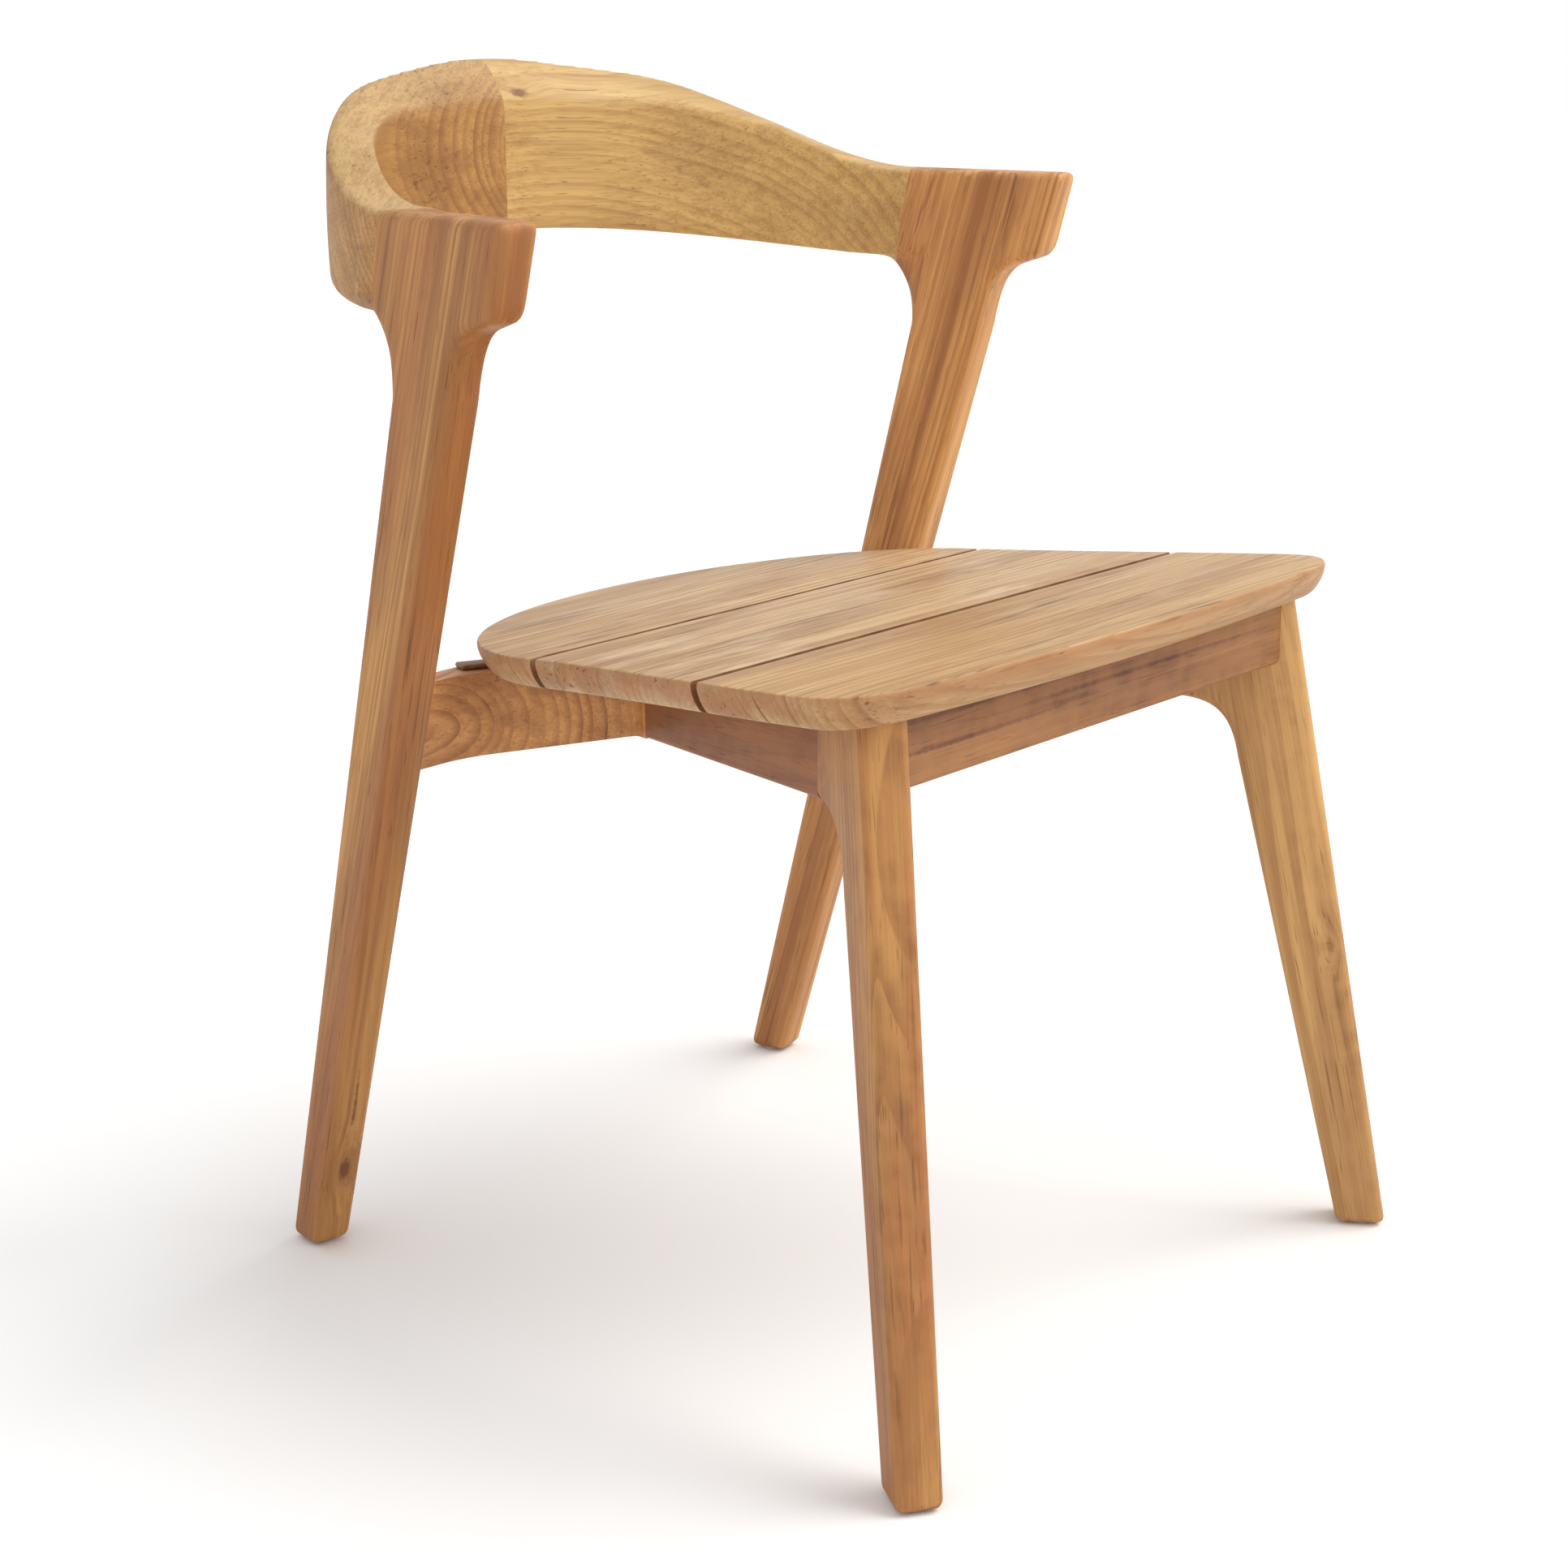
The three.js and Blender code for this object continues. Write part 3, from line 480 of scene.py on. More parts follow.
def edge_wear_and_hollow_shade() -> bpy.types.NodeTree:
    """Where hands and sanding have made the arrises paler, and painted shade darkens the hollows."""
    shop, given, out = new_group(
        "edge_wear_and_hollow_shade", [("Vector", "Vector", None)], [("Worn", "Float"), ("HollowShade", "Float")]
    )
    shape = add_node(shop.tree, "ShaderNodeNewGeometry")
    blotch = shop.noise(given.outputs["Vector"], 55.0, 3.0)
    proud = shop.span(shape.outputs["Pointiness"], 0.51, 0.58)
    shop.feed(out.inputs["Worn"], shop.math("MULTIPLY", proud, shop.span(blotch, 0.3, 0.65)))
    # painted shade in the hollows, where pointiness is low
    shop.feed(out.inputs["HollowShade"], shop.span(shape.outputs["Pointiness"], 0.49, 0.42))
    return shop.tree


def scaled(color: Sequence[float], by: Sequence[float]) -> tuple[float, ...]:
    """A colour with each part multiplied."""
    return (*(min(1.0, c * k) for c, k in zip(color, by)), 1.0)


def between(a: Sequence[float], b: Sequence[float], share: float) -> tuple[float, ...]:
    """A colour a share of the way from one to another."""
    return tuple(p + (q - p) * share for p, q in zip(a, b))


class Grain(Enum):
    """Which way the grain of a piece runs before its own turn."""

    UPRIGHT = (0.0, 0.0, 0.0)
    ACROSS = (0.0, -90.0, 0.0)
    FORWARD = (90.0, 0.0, 0.0)


class Tone(Enum):
    """Light and dark colour of a board's timber."""

    GOLDEN = ((0.680, 0.410, 0.155), (0.300, 0.125, 0.040))
    PALE = ((0.690, 0.480, 0.260), (0.330, 0.165, 0.062))
    HONEY = ((0.600, 0.320, 0.115), (0.255, 0.098, 0.034))
    BROWN = ((0.440, 0.210, 0.082), (0.215, 0.085, 0.034))
    DUSKY = ((0.300, 0.150, 0.060), (0.130, 0.058, 0.026))


@dataclass(frozen=True)
class Knot:
    """A knot at a place on the chair, in metres, before the grain is turned."""

    centre: tuple[float, float, float]
    size: float = 0.004
    stretch: float = 2.2


@dataclass(frozen=True)
class Teak:
    """One board's own timber: its colours, its place in the log and its figure."""

    name: str
    tone: Tone = Tone.HONEY
    grain: Grain = Grain.UPRIGHT
    turn: tuple[float, float, float] = (0.0, 0.0, 0.0)
    centre: tuple[float, float, float] = (0.0, 0.0, 0.0)
    pith: tuple[float, float] = (0.16, 0.05)
    ring_width: float = 0.0042
    wander: float = 0.016
    contrast: float = 0.7
    streaks: float = 0.6
    banding: float = 0.45
    # how much painted sheen whitens the surface in soft patches
    painted_sheen: float = 0.15
    drift: float = 0.7
    flecks: float = 0.6
    roughness: float = 0.44
    blush: float = 0.0
    # how much painted shade darkens faces that are not level
    painted_side_shade: float = 0.0
    # how much painted top light lightens upward-facing faces
    painted_top_light: float = 0.0
    # how much painted shade darkens the slat faces in the gaps, at the front and the back
    sawn: tuple[float, float] = (0.0, 0.0)
    tint: tuple[float, float, float] = (1.0, 1.0, 1.0)
    knots: tuple[Knot, ...] = ()

    def material(self, kit: "WoodKit") -> bpy.types.Material:
        """Builds this timber's material.

        Args:
            kit: the shared groups.

        Returns:
            The finished material.
        """
        material = bpy.data.materials.new(self.name)
        material.use_nodes = True
        tree = material.node_tree
        tree.nodes.clear()
        shop = Shop(tree)
        place = add_node(tree, "ShaderNodeTexCoord")
        board = add_node(tree, "ShaderNodeMapping", vector_type="TEXTURE")
        shop.feed(board.inputs["Vector"], place.outputs["Object"])
        turn = Euler([math.radians(a) for a in self.turn]).to_matrix()
        lay = turn @ Euler([math.radians(a) for a in self.grain.value]).to_matrix()
        board.inputs["Location"].default_value = self.centre
        board.inputs["Rotation"].default_value = lay.to_euler()
        at = board.outputs["Vector"]
        darkest = None
        for knot in self.knots:
            centre = lay.inverted() @ (Vector(knot.centre) - Vector(self.centre))
            mark = shop.group(kit.knot, vector=at, centre=centre, size=knot.size, stretch=knot.stretch)
            at = mark.outputs["Vector"]
            dark = mark.outputs["Dark"]
            darkest = dark if darkest is None else shop.math("MAXIMUM", darkest, dark)
        rings = shop.group(
            kit.rings, vector=at, pith_x=self.pith[0], pith_y=self.pith[1],
            ring_width=self.ring_width, wander=self.wander,
        )
        fibres = shop.group(kit.fibres, vector=at, ring=rings.outputs["Ring"])
        tone = shop.group(kit.tone, vector=at)
        edge = shop.group(kit.edge, vector=at)
        light, dark = (scaled(color, self.tint) for color in self.tone.value)
        depth = shop.span(rings.outputs["Tone"], 0.3, 0.7, 0.35, 1.0)
        late = shop.math("MULTIPLY", rings.outputs["Late"], depth)
        base = shop.mix(shop.math("MULTIPLY", late, self.contrast), light, dark)
        drift = shop.span(tone.outputs["Drift"], 0.40, 0.64, 0.0, self.drift)
        base = shop.mix(drift, base, between(light, dark, 0.75))
        band = shop.span(tone.outputs["Band"], 0.45, 0.66, 0.0, self.banding)
        base = shop.mix(band, base, between(light, dark, 0.95))
        # painted sheen: whitish patches mixed into the colour
        pale = shop.span(fibres.outputs["SheenPatch"], 0.48, 0.72, 0.0, self.painted_sheen)
        base = shop.mix(pale, base, scaled(light, (1.15, 1.25, 1.5)))
        if self.blush:
            red = shop.span(tone.outputs["Blush"], 0.5, 0.6, 0.0, self.blush)
            base = shop.mix(red, base, scaled(HEARTWOOD, self.tint))
        _, facing, level = shop.split(place.outputs["Normal"])
        # painted top light: upward-facing faces mixed towards a lighter gold
        if self.painted_top_light:
            top = shop.span(level, 0.35, 0.8, 0.0, self.painted_top_light)
            base = shop.mix(top, base, TOP_LIGHT_GOLD)
        if self.painted_side_shade or any(self.sawn):
            # painted shade: faces that are not level darkened towards a dark red, in patches
            rim = shop.span(shop.math("ABSOLUTE", level), 0.45, 0.9, self.painted_side_shade, 0.0)
            patchy = shop.span(tone.outputs["Blush"], 0.35, 0.6, 0.45, 1.0)
            base = shop.mix(shop.math("MULTIPLY", rim, patchy), base, SIDE_SHADE_RED)
            # painted shade: slat faces that look into the gaps darkened towards a dark brown
            behind = shop.span(facing, 0.85, 0.97, 0.0, self.sawn[1])
            before = shop.span(facing, -0.97, -0.85, self.sawn[0], 0.0)
            base = shop.mix(shop.math("ADD", behind, before, clamp=True), base, GAP_SHADE_BROWN)
        hair = shop.span(fibres.outputs["Fibre"], 0.40, 0.66, 0.0, 0.42)
        base = shop.mix(hair, base, scaled(dark, (1.0, 0.95, 0.9)))
        fleck = shop.math("MULTIPLY", fibres.outputs["Fleck"], self.flecks)
        base = shop.mix(fleck, base, scaled(dark, (0.62, 0.58, 0.6)))
        streak = shop.math("MULTIPLY", rings.outputs["Streak"], self.streaks, clamp=True)
        base = shop.mix(streak, base, scaled(dark, (0.36, 0.34, 0.40)))
        base = shop.mix(
            shop.math("MULTIPLY", fibres.outputs["Pore"], 0.55), base,
            scaled(dark, (0.42, 0.38, 0.36)),
        )
        if darkest is not None:
            base = shop.mix(shop.math("MULTIPLY", darkest, 0.85), base, scaled(dark, (0.55, 0.42, 0.36)))
        worn = shop.math("MULTIPLY", edge.outputs["Worn"], 0.35)
        base = shop.mix(worn, base, scaled(light, (1.14, 1.08, 1.06)))
        # painted shade darkening the hollows
        hollow = shop.math("MULTIPLY", edge.outputs["HollowShade"], 0.5)
        base = shop.mix(hollow, base, scaled(dark, (0.5, 0.5, 0.5)))
        rough = shop.math("ADD", self.roughness, shop.math("MULTIPLY", fibres.outputs["Fibre"], 0.16))
        rough = shop.math("ADD", rough, shop.math("MULTIPLY", fibres.outputs["Pore"], 0.2))
        height = shop.math("MULTIPLY", fibres.outputs["Fibre"], 0.5)
        height = shop.math("SUBTRACT", height, shop.math("MULTIPLY", fibres.outputs["Pore"], 0.8))
        height = shop.math("ADD", height, shop.math("MULTIPLY", rings.outputs["Late"], 0.25))
        bump = add_node(tree, "ShaderNodeBump")
        bump.inputs["Strength"].default_value = 0.35
        bump.inputs["Distance"].default_value = 0.0004
        shop.feed(bump.inputs["Height"], height)
        skin = add_node(tree, "ShaderNodeBsdfPrincipled")
        shop.feed(skin.inputs["Base Color"], base)
        shop.feed(skin.inputs["Roughness"], rough)
        shop.feed(skin.inputs["Normal"], bump.outputs["Normal"])
        skin.inputs["Specular IOR Level"].default_value = 0.42
        skin.inputs["Coat Weight"].default_value = 0.10
        skin.inputs["Coat Roughness"].default_value = 0.32
        end = add_node(tree, "ShaderNodeOutputMaterial")
        shop.feed(end.inputs["Surface"], skin.outputs["BSDF"])
        return material


@dataclass
class WoodKit:
    """The shared wood effects, built once."""

    rings: bpy.types.NodeTree = field(default_factory=growth_rings)
    fibres: bpy.types.NodeTree = field(default_factory=wood_fibres)
    tone: bpy.types.NodeTree = field(default_factory=timber_tone)
    knot: bpy.types.NodeTree = field(default_factory=knot_mark)
    edge: bpy.types.NodeTree = field(default_factory=edge_wear_and_hollow_shade)


@dataclass(frozen=True)
class PlainFinish:
    """A small hidden fitting's finish: beech, zinc-plated steel or pale plastic."""

    name: str
    color: tuple[float, float, float]
    roughness: float
    metallic: float = 0.0
    mottle: float = 120.0

    def material(self) -> bpy.types.Material:
        """Builds the material, with a little mottling in its colour and gloss."""
        material = bpy.data.materials.new(self.name)
        material.use_nodes = True
        tree = material.node_tree
        tree.nodes.clear()
        shop = Shop(tree)
        place = add_node(tree, "ShaderNodeTexCoord")
        cloud = shop.noise(place.outputs["Object"], self.mottle, 3.0)
        skin = add_node(tree, "ShaderNodeBsdfPrincipled")
        worn = tuple(c * 0.8 for c in self.color)
        shop.feed(skin.inputs["Base Color"], shop.mix(cloud, (*self.color, 1.0), (*worn, 1.0)))
        rough = shop.span(cloud, 0.2, 0.8, self.roughness, self.roughness + 0.15)
        shop.feed(skin.inputs["Roughness"], rough)
        skin.inputs["Metallic"].default_value = self.metallic
        bump = add_node(tree, "ShaderNodeBump")
        bump.inputs["Strength"].default_value = 0.15
        bump.inputs["Distance"].default_value = 0.0002
        shop.feed(bump.inputs["Height"], cloud)
        shop.feed(skin.inputs["Normal"], bump.outputs["Normal"])
        end = add_node(tree, "ShaderNodeOutputMaterial")
        shop.feed(end.inputs["Surface"], skin.outputs["BSDF"])
        return material


def dress(piece: bpy.types.Object, material: bpy.types.Material, node: str) -> None:
    """Gives a finished piece its material and its place on the frame.

    Args:
        piece: the finished piece.
        material: its finish.
        node: the frame's node that it stands for.
    """
    piece.data.materials.clear()
    piece.data.materials.append(material)
    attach(piece, BODY)
    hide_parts(node)
    log.info("%s: %d faces", piece.name, len(piece.data.polygons))


# ---------------------------------------------------------------- boards


@dataclass(frozen=True)
class BoardPlane:
    """The upright middle plane of a leg board, turned outwards in plan."""

    turn: float
    offset: float
    lean: float
    shift: float

    def point(self, forward: float, height: float, across: float = 0.0) -> Vector:
        """A point given along the board, up it and out of its plane."""
        t = math.radians(self.turn)
        front = Vector((math.sin(t), -math.cos(t), 0))
        reach = self.offset - self.lean * height + across
        place = self.out * reach + front * forward
        return Vector((place.x, place.y + self.shift, height))

    @property
    def out(self) -> Vector:
        """Direction out of the board, away from the chair."""
        t = math.radians(self.turn)
        return Vector((math.cos(t), math.sin(t), 0))

    @property
    def front(self) -> Vector:
        """Direction along the board towards its front edge."""
        t = math.radians(self.turn)
        return Vector((math.sin(t), -math.cos(t), 0))

    def board(self, name: str, profile: Sequence[Point2], thickness: float) -> bpy.types.Object:
        """A board of a given profile, drawn as (forward, height)."""
        face = [self.point(s, z, -thickness / 2) for s, z in profile]
        return prism(name, face, self.out * thickness)


def curve2(a: Point2, b: Point2, c: Point2, d: Point2, steps: int = 14) -> list[Point2]:
    """Points along a flat cubic curve, without its first one."""
    ends = [Vector((*p, 0)) for p in (a, b, c, d)]
    return [(p.x, p.y) for p in bezier(*ends, steps)]


@dataclass
class Measures:
    """Sizes shared by several sub-assemblies, in metres, taken from the frame's nodes."""

    seat_slope: float = math.radians(5.17)
    seat_thickness: float = 0.020
    rail_depth: float = 0.058
    apron_depth: float = 0.042

    def __post_init__(self) -> None:
        """Finds the chair's middle line and other sizes in the frame, and sets its seat height."""
        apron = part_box("front_apron")
        self.apron_front = apron[0].y
        self.apron_thickness = 0.022
        self.shift = apron[0].y + 0.207
        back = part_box("seat_slat_front")
        self.seat_mid = 0.4353
        self.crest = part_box("back_half_right")[1].z
        self.arm_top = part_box("rear_leg_right")[1].z
        self.back_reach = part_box("back_half_right")[1].y
        self.seat_front = back[0].y
        self.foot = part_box("front_leg_right")[0].z

    def seat_top(self, y: float) -> float:
        """Height of the seat's top at a depth y."""
        return self.seat_mid - math.tan(self.seat_slope) * (y - self.shift)

    def below(self, y: float, depth: float) -> float:
        """Height of a layer square below the seat's top, at a depth y."""
        return self.seat_top(y) - depth / math.cos(self.seat_slope)

    @property
    def up(self) -> Vector:
        """Direction square to the seat."""
        return Vector((0, math.sin(self.seat_slope), math.cos(self.seat_slope)))


# ---------------------------------------------------------------- upper frame


@dataclass
class UpperFrame:
    """The rear legs and the back, shaped as one body and parted at their glued joints."""

    sizes: Measures
    turn: float = 9.6
    offset: float = 0.2745
    lean: float = 0.0242
    thickness: float = 0.0285
    foot_front: float = -0.2025
    foot_depth: float = 0.0305
    waist_height: float = 0.583
    waist_front: float = -0.0305
    waist_depth: float = 0.056
    arm_tip: float = 0.031
    arm_tip_depth: float = 0.055
    arm_joint: float = -0.094
    joint_slant: float = 0.012
    joint_width: float = 0.037
    swell_start: float = -0.055
    inner_top: float = 0.735
    foot_mid: float = 0.6525
    foot_end: float = 0.629
    mid_thickness: float = 0.0245
    hand_mid: float = 0.138
    hand_arm: float = 0.113
    crest_dip: float = 0.004
    crest_spare: float = 0.0035    # what rounding takes off the crest
    edge: float = 0.0055
    grit: float = 0.0019
    passes: int = 7

    def __post_init__(self) -> None:
        """Sets up the leg's plane and the back's plan curve."""
        self.plane = BoardPlane(self.turn, self.offset, self.lean, self.sizes.shift)
        meet = self.plane.point(self.arm_joint, self.sizes.arm_top, self.thickness / 2)
        meet.z = 0
        reach = self.sizes.back_reach
        start = Vector((0, reach, 0))
        run = -self.plane.front
        pull = Vector((self.hand_mid, reach, 0))
        fine = [start] + bezier(start, pull, meet + run * self.hand_arm, meet, 400)
        lengths = [0.0]
        for a, b in zip(fine, fine[1:]):
            lengths.append(lengths[-1] + (b - a).length)
        self.fine, self.lengths, self.length = fine, lengths, lengths[-1]
        self.run = run
        self.meet = meet

    def along(self, q: float) -> tuple[Vector, Vector]:
        """Place and direction of the outer plan curve at a share q of its length."""
        if q <= 0:
            return self.fine[0] + Vector((q * self.length, 0, 0)), Vector((1, 0, 0))
        if q >= 1:
            return self.meet - self.run * ((q - 1) * self.length), -self.run
        target = q * self.length
        i = next(k for k, reached in enumerate(self.lengths) if reached >= target)
        a, b = self.fine[i - 1], self.fine[i]
        share = (target - self.lengths[i - 1]) / (self.lengths[i] - self.lengths[i - 1])
        before = self.fine[max(0, i - 2)]
        after = self.fine[min(len(self.fine) - 1, i + 1)]
        return a.lerp(b, share), (after - before).normalized()

    def section(self, q: float) -> list[Point2]:
        """Section at a share q from the middle (0) to the joint (1) and on into the arm.

        Returns:
            Points as (distance in from the outer face, height).
        """
        top = self.sizes.arm_top
        u = min(max(q, 0.0), 1.0)
        bell = math.cos(math.pi / 2 * u**1.4) ** 2
        dip = self.crest_dip * math.sin(2 * math.pi * min(u, 0.5)) ** 2
        crest = top + (self.sizes.crest + self.crest_spare - top) * bell - dip
        drop = (self.sizes.crest - self.inner_top) * max(0.0, 1 - (u / 0.70) ** 1.7)
        inner = crest - max(drop, 0.0)
        foot = self.foot_end + (self.foot_mid - self.foot_end) * math.cos(math.pi / 2 * u) ** 1.7
        width = self.mid_thickness + (self.joint_width - self.mid_thickness) * u**1.5
        if q > 1:
            gone = min(1.0, (q - 1) * self.length / (self.swell_start - self.arm_joint))
            ease = gone * gone * (3 - 2 * gone)
            width = self.joint_width + (self.thickness - 0.001 - self.joint_width) * ease
            foot = self.foot_end + 0.012 * gone
        return self.rounded(crest, inner, foot, width, u)

    def rounded(self, crest: float, inner: float, foot: float, width: float, u: float) -> list[Point2]:
        """The section's outline with soft corners, going round from the outer foot.

        Args:
            crest: height of the outer top corner.
            inner: height of the inner top corner.
            foot: height of the underside.
            width: thickness.
            u: share of the way to the joint.
        """
        corners = [
            ((0.0008, foot + 0.002 * (1 - u)), 0.0105 - 0.003 * u),
            ((width, foot), 0.005),
            ((width, inner), 0.0045),
            ((width * 0.52, (crest + inner) / 2 + 0.0035 * (1 - u)), 0.006),
            ((0.001, crest), 0.0075 - 0.0025 * u),
            ((-0.0015 * (1 - u), (crest + foot) / 2), 0.02),
        ]
        return round_corners(corners, 5)

    def loft_back(self) -> bpy.types.Object:
        """The right half of the back, carried past the middle and into the arm."""
        rings = []
        steps = 88
        low, high = -0.06, 1 + (self.swell_start - self.arm_joint) / self.length
        for i in range(steps + 1):
            q = low + (high - low) * i / steps
            at, run = self.along(q)
            inwards = Vector((run.y, -run.x, 0))
            weight = min(max(q, 0.0), 1.0) ** 3
            ring = []
            for d, z in self.section(q):
                splay = self.lean * (self.sizes.arm_top - z) * weight
                ring.append(at + inwards * (d - splay) + Vector((0, 0, z)))
            rings.append(ring)
        return loft("back_blank", rings)

    def leg_profile(self) -> list[Point2]:
        """Outline of the T-shaped leg board, as (forward, height)."""
        sole = self.sizes.foot
        top = self.sizes.arm_top
        under = top - self.arm_tip_depth
        waist = (self.waist_front, self.waist_height)
        back = self.waist_front - self.waist_depth
        tip = self.arm_tip
        outline = [(self.foot_front - self.foot_depth, sole), (self.foot_front, sole), waist]
        outline += curve2(waist, (-0.0265, 0.604), (-0.021, 0.621), (-0.007, 0.6265))
        outline += [(tip - 0.021, under - 0.003)]
        outline += curve2(outline[-1], (tip - 0.017, under - 0.001), (tip - 0.0145, under + 0.002),
                          (tip - 0.0125, under + 0.009), 6)
        outline += [(tip, top), (self.arm_joint - 0.02, top)]
        outline += [(self.arm_joint - 0.02 - self.joint_slant, self.foot_end + 0.008)]
        outline += [(self.arm_joint - self.joint_slant - 0.001, self.foot_end + 0.002)]
        outline += curve2(outline[-1], (-0.092, 0.617), (back, 0.606), (back, self.waist_height))
        return outline

    def joint_plane(self) -> tuple[Vector, Vector]:
        """A point of the glued joint between arm and back, and its direction rearwards."""
        half = self.thickness / 2
        top = self.plane.point(self.arm_joint, self.sizes.arm_top, half)
        foot = self.plane.point(self.arm_joint - self.joint_slant, self.foot_end, half)
        inner = self.plane.point(self.arm_joint + 0.013, self.sizes.arm_top, half - self.joint_width)
        rear = (inner - top).cross(top - foot).normalized()
        return top, rear if rear.y > 0 else -rear

    def build(self) -> dict[str, bpy.types.Object]:
        """Shapes the right side and mirrors it.

        Returns:
            The four pieces by name.
        """
        leg = self.plane.board("leg_blank", self.leg_profile(), self.thickness)
        soften(leg, self.edge, segments=4)
        body = joined("upper_body", [leg, self.loft_back()])
        sanded(body, self.grit, self.passes)
        self.blend_armpit(body)
        at, rear = self.joint_plane()
        back = copied(body, "back_half_right")
        cut(back, at + rear * SEAM, -rear)
        cut(back, Vector((SEAM, 0, 0)), Vector((-1, 0, 0)))
        cut(back, Vector((0, 0, self.waist_height)), Vector((0, 0, -1)))
        cut(body, at - rear * SEAM, rear, above=self.waist_height)
        body.name = "rear_leg_right"
        pieces = {"rear_leg_right": body, "back_half_right": back}
        for name in list(pieces):
            smooth_shade(pieces[name])
            pair = name.replace(RIGHT, LEFT)
            pieces[pair] = mirrored(pieces[name], pair)
        return pieces

    def blend_armpit(self, body: bpy.types.Object) -> None:
        """Rubs the hollow between arm, back and leg rounder than the rest."""
        centre = self.plane.point(self.arm_joint + 0.003, self.foot_end - 0.008, -self.thickness / 2)
        group = body.vertex_groups.new(name="armpit")
        for corner in body.data.vertices:
            share = 1 - (corner.co - centre).length / 0.042
            if share > 0:
                group.add([corner.index], min(1.0, share * 1.8), "REPLACE")
        activate(body)
        rub = body.modifiers.new("rub", "SMOOTH")
        rub.factor = 0.6
        rub.iterations = 40
        rub.vertex_group = group.name
        bpy.ops.object.modifier_apply(modifier=rub.name)


def round_corners(corners: Sequence[tuple[Point2, float]], steps: int) -> list[Point2]:
    """A closed outline whose corners are each rounded by their own size.

    Args:
        corners: each corner's place and the size of its rounding.
        steps: points along each rounding.
    """
    points = []
    count = len(corners)
    for i, (place, size) in enumerate(corners):
        here = Vector(place)
        before = (Vector(corners[i - 1][0]) - here)
        after = (Vector(corners[(i + 1) % count][0]) - here)
        start = here + before.normalized() * min(size, before.length * 0.45)
        end = here + after.normalized() * min(size, after.length * 0.45)
        for k in range(steps + 1):
            t = k / steps
            spot = start * (1 - t) ** 2 + here * (2 * t * (1 - t)) + end * t * t
            points.append((spot.x, spot.y))
    return points


# ---------------------------------------------------------------- front legs and rails


@dataclass
class FrontLegs:
    """The raked front legs, flaring into the side rails."""

    sizes: Measures
    turn: float = 34.2
    offset: float = 0.0587
    thickness: float = 0.0285
    foot_face: float = 0.3695
    rake: float = 0.186
    foot_depth: float = 0.0325
    top_depth: float = 0.0515
    flare_height: float = 0.328
    joint: float = 0.207
    edge: float = 0.0055

    def __post_init__(self) -> None:
        """Sets up the board's plane."""
        self.plane = BoardPlane(self.turn, self.offset, 0.0, self.sizes.shift)

    def front_at(self, z: float) -> float:
        """How far forward the front edge lies at a height."""
        return self.foot_face - self.rake * z

    def profile(self) -> list[Point2]:
        """Outline of the board, as (forward, height), up to the seat's underside."""
        sizes = self.sizes
        sole = sizes.foot
        drop = sizes.seat_thickness + sizes.rail_depth
        low = sizes.below(self.plane.point(self.joint, 0, self.thickness / 2).y, drop)
        flare = (self.front_at(self.flare_height) - self.top_depth, self.flare_height)
        high = 0.47
        outline = [(self.front_at(sole) - self.foot_depth, sole), (self.front_at(sole), sole)]
        outline += [(self.front_at(high), high), (self.joint, high), (self.joint, low)]
        outline += curve2((self.joint, low), (self.joint + 0.030, low - 0.0005),
                          (flare[0] - 0.006, low - 0.008), flare, 16)
        return outline

    def build(self) -> dict[str, bpy.types.Object]:
        """Both front legs by name."""
        sizes = self.sizes
        leg = self.plane.board("front_leg_right", self.profile(), self.thickness)
        seat_foot = Vector((0, sizes.shift, sizes.below(sizes.shift, sizes.seat_thickness + 0.0002)))
        cut(leg, seat_foot, sizes.up)
        joint = self.joint

        def worked(a: Vector, b: Vector) -> bool:
            """Edges away from the seat and from the joint with the rail."""
            ends = [(p - self.plane.point(0, 0)).dot(self.plane.front) for p in (a, b)]
            tops = [(p - seat_foot).dot(sizes.up) for p in (a, b)]
            at_joint = max(ends) < joint + 0.0005
            at_seat = min(tops) > -0.001
            return not at_joint and not at_seat

        soften(leg, self.edge, worked, segments=5)
        smooth_shade(leg)
        return {"front_leg_right": leg, "front_leg_left": mirrored(leg, "front_leg_left")}


